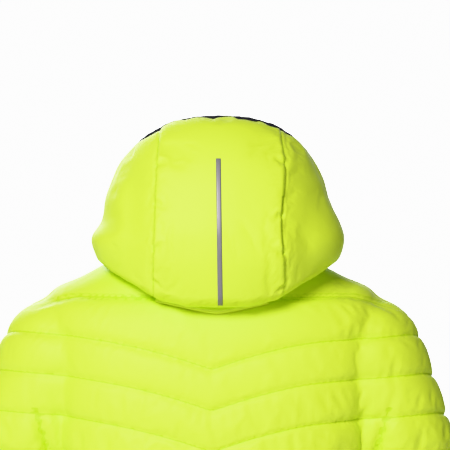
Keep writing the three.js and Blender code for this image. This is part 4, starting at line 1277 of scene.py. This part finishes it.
def add_snow_skirt():
    low, high = (np.array(v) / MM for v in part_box("snow_skirt"))
    levels = np.array([p[1] for p in SIDE_LINE[5:]])
    rows, around = 22, 260
    share = np.interp(-np.linspace(high[2] - 1, low[2] + 1, rows), -levels, np.linspace(5 / 8, 1, 4))[:, None]
    turn = np.linspace(-np.pi + 0.2, np.pi - 0.2, around)[None, :]
    grid = section(*body_lines(share, rows, around), turn + 0 * share, 2.5)
    out = outward_of(grid)
    fall = np.linspace(0, 1, rows)[:, None]
    run = turn * 150
    gathers_in = 1.3 * np.sin(run / 3.1 + ripple(run, 60, 91)) * (np.exp(-((1 - fall) / 0.12) ** 2) + 0.35)
    inset = 15.6 + 2.5 * fall + gathers_in
    grid = grid - out * inset[..., None]
    grid_piece("snow_skirt_cloth", grid, (0, 1, 0), 1.0, LINING, ["snow_skirt"])


add_linings()
add_collar()
add_neck_panel()
add_front_zip()
for strip in ZIP_STRIPS:
    add_pocket_zip(strip)
for bag in ("hand_pocket_left_bag", "hand_pocket_right_bag", "chest_pocket_bag"):
    add_pocket_bag(bag)
add_cuff_pieces()
add_snow_skirt()
soft_copy("hang_loop", 0.6, DARK)


def soften_edges():
    """Fine bevels on the hard parts that stay as packed."""
    for node, obj in frame["nodes"].items():
        if any(word in node for word in ("slider", "puller", "box")):
            bevel = obj.modifiers.new("edges", "BEVEL")
            bevel.width = 0.25 * MM
            bevel.segments = 2
            bevel.limit_method = "ANGLE"
            bevel.angle_limit = 0.6


soften_edges()

# ---------------------------------------------------------------- hood

HOOD_LEVELS = [155, 152.5, 145, 137.5, 122.5, 100, 77.5, 55, 25, 2.5, -20, -38, -70, -100]
HOOD_LEFT = [0.5, 32, 63, 77, 98, 118, 130, 139, 147.5, 157, 151, 142, 124, 112]
HOOD_RIGHT = [0.5, 38, 67, 81, 101, 119, 132, 140, 152, 157, 152, 142, 124, 112]
HOOD_BACK = [0.5, 30, 55, 68, 84, 100, 111, 119, 127, 130, 129, 125, 114, 98]
HOOD_FRONT = [-0.5, -30, -50, -62, -78, -93, -103, -110, -116, -118, -118, -116, -110, -102]
HOOD_EDGE = [(0, -79.5), (40, -79), (76, -71.5), (94, -62.5), (113, -52.5), (141, -37.5), (175, -22)]
OPENING_LOW = [(-200, -62), (-60, -60), (-22, -52), (20, -38), (60, -12)]
OPENING = OPENING_LOW + [(85, 14), (105, 34), (125, 47), (140, 53), (156, 57)]
ROLL = 13


def hood_rings(rows, around):
    share = np.broadcast_to(np.linspace(0, 1, rows)[:, None], (rows, around))
    angle = np.broadcast_to(np.linspace(0, 2 * np.pi, around, endpoint=False)[None, :], (rows, around))
    left, right, back, front = (
        catmull(list(zip(line, HOOD_LEVELS)), share)
        for line in (HOOD_LEFT, HOOD_RIGHT, HOOD_BACK, HOOD_FRONT)
    )
    side = np.where((np.sin(angle) > 0)[..., None], left, right)
    return section(side, back, front, angle, 2.2) + [HOOD_LEAN, HOOD_MIDDLE, 0]


def height_of_body(x, y):
    hit = BODY_TREE.ray_cast((x, y, 200), (0, 0, -1))[0]
    return hit.z if hit else -500


def hood_edge(points):
    """Height of the hood's lower edge at each point: behind it hangs, elsewhere it rests on the shoulders."""
    edge = np.array(HOOD_EDGE, float)
    hanging = np.interp(np.abs(points[:, 0] - HOOD_LEAN), edge[:, 0], edge[:, 1])
    low = points[:, 2] < 60
    resting = np.full(len(points), -500.0)
    resting[low] = [height_of_body(x, y) + 4 for x, y, _ in points[low]]
    return np.maximum(hanging, resting)


def rolled_under(points, edge):
    """Turns what is below the lower edge in towards the neck, round a fold."""
    above = points[:, 2] - edge
    past = np.clip(ROLL - above, 0, None)
    turn = np.minimum(past / ROLL, 2.5)
    inward = np.stack([-(points[:, 0] - HOOD_LEAN) * 0.7, HOOD_MIDDLE - points[:, 1]], -1)
    inward /= np.linalg.norm(inward, axis=1, keepdims=True) + 1e-6
    shift = ROLL * (1 - np.cos(turn)) + (past / ROLL - turn) * ROLL * np.sin(turn)
    moved = points.copy()
    rolling = past > 0
    moved[rolling, 2] = (edge + ROLL - ROLL * np.sin(turn))[rolling]
    moved[rolling, :2] += (inward * shift[:, None])[rolling]
    return moved


def seam_left(z):
    return HOOD_LEAN + 75 - 0.03 * (z - 36)


def seam_right(z):
    return HOOD_LEAN - 79 + 2 * np.cos((z - 20) / 22)


def gathers(x):
    """How far the face opening's edge draws in along the crown, so that the dark binding shows behind it."""
    lean = x - HOOD_LEAN
    notch = 6.5 * np.exp(-np.abs(lean - 6) / 9)
    left = 6.5 * bump(lean, 80, 14) + 1.5 * bump(lean, 38, 6)
    right = 4.4 * smooth_step(-lean, 18, 30) * smooth_step(lean, -96, -84)
    right *= 1 + 0.45 * np.sin(lean / 3.6 + 1) + 0.4 * np.sin(lean / 6.1)
    return notch + left + right


def make_hood():
    voxel = 2.6
    points, faces = remeshed([closed_loft(hood_rings(160, 220))], voxel)
    skin = Skin(smoothed(points, faces, 6), faces)
    opening = np.array(OPENING, float)
    skin.cut("opening", skin.points[:, 1] - np.interp(skin.points[:, 2], opening[:, 0], opening[:, 1]))
    skin.keep(skin.side("opening"))
    edge = hood_edge(skin.points)
    skin.cut("hidden", skin.points[:, 2] - edge + mix(3, 32, smooth_step(skin.points[:, 1], 10, 60)))
    skin.keep(skin.side("hidden"))
    skin.cut("left_seam", skin.points[:, 0] - seam_left(skin.points[:, 2]))
    skin.cut("right_seam", skin.points[:, 0] - seam_right(skin.points[:, 2]))
    return skin


def hood_relief(skin):
    """Folds and seams of the hood, as heights above its even skin."""
    x, y, z = skin.points.T
    height = np.zeros(len(x))
    behind = smooth_step(y, 40, 70)
    for seam, sign in ((seam_left(z), 1), (seam_right(z), -1)):
        off = (x - seam) * sign
        middle_height = smooth_step(-z, -125, -80) * smooth_step(z, -70, -20)
        height += 3.5 * bump(off, -2, 26) * behind * middle_height
        height -= 7.5 * bump(off, 30, 31) * (off > 0) * behind * middle_height
        height += 1.3 * smooth_step(-off, -2.5, 0.5) * smooth_step(off, -22, 0) * behind
        height -= 1.8 * np.exp(-((off / 1.4) ** 2)) * behind
        pulls = [92, 47, -9, -48] if sign > 0 else [94, 32, -14, -54]
        for k, level in enumerate(pulls):
            slant = 0.5 if k % 2 else -0.35
            across = np.abs(off + 4) / 6.5
            height -= 3.2 * np.exp(-(across**2)) * bump(z - slant * off, level, 3.8) * (off < 2) * behind
            height += 1.4 * np.exp(-(across**2)) * bump(z - slant * off, level + 6, 5) * (off < 2) * behind
    height -= 3.5 * bump(x, HOOD_LEAN + 150, 26) * bump(z, 28, 18)
    height += 2.2 * bump(x, HOOD_LEAN + 122, 10) * bump(z, 50, 60)
    height += 2.0 * np.sin((x + z * 0.35) / 17) * smooth_step(-x, 95, 120) * bump(z, 40, 60)
    edge = np.interp(z, *np.array(OPENING, float).T)
    near_rim = np.exp(-(((y - edge) / 24) ** 2)) * smooth_step(z, 100, 118)
    height -= gathers(x) * near_rim
    return height


hood = make_hood()
hood.points += normals_of(hood.points, hood.faces) * hood_relief(hood)[:, None]
hood.values["above"] = hood.points[:, 2] - hood_edge(hood.points)
hood.points = rolled_under(hood.points, hood.points[:, 2] - hood.values["above"])


def settle_hood():
    x, _, z = hood.points.T
    left, right = x - seam_left(z), x - seam_right(z)
    edge = free_ends(hood.faces, len(x))
    held = (np.abs(left) < 1.2) | (np.abs(right) < 1.2) | edge
    hood.points = relaxed(hood.points, hood.faces, held, 0.015, 4, 1.6, frames=14)
    hood.points = smoothed(hood.points, hood.faces, 1, edge)
    hood.values["stitch"] = np.minimum(np.minimum(np.abs(left), np.abs(right)), 30)
    hood.values["run"] = z


settle_hood()


def add_hood_panels():
    middle = hood.points[hood.faces].mean(1)
    front = (middle[:, 1] < 20) & (middle[:, 2] < 60)
    left, right = hood.side("left_seam"), ~hood.side("right_seam")
    left, right = left | (front & (middle[:, 0] > 0)), right | (front & (middle[:, 0] < 0))
    masks = {"hood_side_left": left, "hood_side_right": right, "hood_centre_panel": ~left & ~right}
    panels_of(hood, masks, HOOD_SHELL - 1, NEON, HOOD)


add_hood_panels()


def add_hood_lining():
    normals = normals_of(hood.points, hood.faces)
    inner = hood.points - normals * (HOOD_SHELL + 0.4)
    obj = shell_object("hood_lining_cloth", inner, hood.faces, normals, 0.8, LINING)
    settle_in(obj, ["hood_lining"], HOOD)


add_hood_lining()


def rim_path():
    """The face opening's edge from the wearer's left up over the crown to the right."""
    on_edge = (np.abs(hood.values["opening"]) < 1e-6) & (hood.values["above"] > 5)
    p = hood.points[on_edge]
    turn = np.arctan2(p[:, 0] - HOOD_LEAN, p[:, 2] - 20)
    p = p[np.argsort(-turn)]
    kept = [p[0]]
    for q in p[1:]:
        if np.linalg.norm(q - kept[-1]) > 3:
            kept.append(q)
    return np.array(kept)


def swept(path, outline, up, name, material):
    """A closed outline (path, n, 2) along a path. Its first axis follows up, its second the other normal."""
    along = np.gradient(path, axis=0)
    along /= np.linalg.norm(along, axis=1, keepdims=True)
    first = up - (up * along).sum(1, keepdims=True) * along
    first /= np.linalg.norm(first, axis=1, keepdims=True)
    second = np.cross(along, first)
    rings = path[:, None] + outline[..., :1] * first[:, None] + outline[..., 1:] * second[:, None]
    return new_object(name, *closed_loft(rings), material)


def even_hood_edge():
    """The rim as it would lie without its gathers."""
    path = rim_path()
    x, y, z = path.T
    draw = gathers(x) * smooth_step(z, 100, 118)
    outward = np.stack([x - HOOD_LEAN, 0 * y, z - 40], -1)
    outward /= np.linalg.norm(outward, axis=1, keepdims=True)
    path = path + outward * draw[:, None]
    for _ in range(6):
        path[1:-1] = (path[:-2] + 2 * path[1:-1] + path[2:]) / 4
    return path, outward


def add_rim():
    path, outward = even_hood_edge()
    a = np.linspace(0, 2 * np.pi, 20, endpoint=False)
    step = np.arange(len(path))[:, None]
    pleat = 1 + 0.1 * np.sin(step * 1.9) + 0.06 * np.sin(step * 0.83 + 1)
    draw = gathers(path[:, 0]) * smooth_step(path[:, 2], 96, 114)
    reach = np.where(np.sin(a) > 0, 2.6, 2.9 + 1.25 * draw[:, None])
    outline = np.stack([reach * np.sin(a) * pleat - 1.2, 5.5 * np.cos(a) + 0 * step], -1)
    centre = path + [0, -3.5, 0]
    obj = swept(centre, outline, outward, "hood_rim_cloth", DARK)
    settle_in(obj, ["hood_rim_binding"], HOOD)


add_rim()


def add_strip():
    """The reflective strip, laid on the hood's outside."""
    tree = BVHTree.FromPolygons(hood.points.tolist(), hood.faces.tolist())
    rows, columns = 150, 7
    points = []
    for z in np.linspace(STRIP_TOP, STRIP_TOP - STRIP_LENGTH, rows):
        middle = -8 - 2.4 * (STRIP_TOP - z) / 178
        for k in np.linspace(-0.5, 0.5, columns):
            hit = tree.ray_cast((middle + k * STRIP_WIDTH, 320, z), (0, -1, 0))[0]
            lift = 0.7 if abs(k) < 0.45 else 0.25
            points.append((hit.x, hit.y + lift, hit.z))
    faces = grid_faces(rows, columns, wrap=False)
    obj = new_object("reflective_tape", points, faces, REFLECTIVE)
    thickness = obj.modifiers.new("thickness", "SOLIDIFY")
    thickness.thickness = 0.5 * MM
    thickness.offset = -1
    settle_in(obj, ["reflective_strip"], HOOD)


add_strip()

# ---------------------------------------------------------------- stage


def add_light(name, place, aim, size, power, colour=(1, 1, 1)):
    light = bpy.data.lights.new(name, "AREA")
    light.shape = "DISK"
    light.size = size
    light.energy = power
    light.color = colour
    obj = bpy.data.objects.new(name, light)
    bpy.context.collection.objects.link(obj)
    obj.location = place
    obj.rotation_euler = (Vector(aim) - obj.location).to_track_quat("-Z", "Y").to_euler()
    return obj


def add_stage():
    corners = [(x * 4000, y * 4000, 0) for x, y in ((-1, -1), (1, -1), (1, 1), (-1, 1))]
    floor = new_object("floor", corners, [(0, 1, 2, 3)])
    floor.location.z = CAD_BOX[0][2] - 0.002
    material, _, _, shader = node_material("pale_floor")
    shader.inputs["Base Color"].default_value = (0.9, 0.9, 0.9, 1)
    shader.inputs["Roughness"].default_value = 0.9
    floor.data.materials.append(material)
    add_light("key", (0.85, 2.85, 1.45), (0, 0.1, 0), 1.2, 110, (1, 0.93, 1))
    add_light("front_key", (1.0, -2.9, 1.1), (0, -0.1, -0.3), 1.6, 70)
    add_light("front_fill", (-0.6, -3.0, 0.3), (0, -0.1, -0.3), 1.6, 18)
    world = bpy.data.worlds.new("studio")
    bpy.context.scene.world = world
    world.use_nodes = True
    nodes, links = world.node_tree.nodes, world.node_tree.links
    background = nodes["Background"]
    seen = nodes.new("ShaderNodeBackground")
    seen.inputs["Color"].default_value = (1, 1, 1, 1)
    seen.inputs["Strength"].default_value = 3.5
    background.inputs["Color"].default_value = (0.95, 1, 0.85, 1)
    background.inputs["Strength"].default_value = 0.2
    ray = nodes.new("ShaderNodeLightPath")
    mixer = nodes.new("ShaderNodeMixShader")
    links.new(ray.outputs["Is Camera Ray"], mixer.inputs["Fac"])
    links.new(background.outputs["Background"], mixer.inputs[1])
    links.new(seen.outputs["Background"], mixer.inputs[2])
    links.new(mixer.outputs["Shader"], nodes["World Output"].inputs["Surface"])


add_stage()
bpy.context.scene.view_settings.view_transform = "Khronos PBR Neutral"
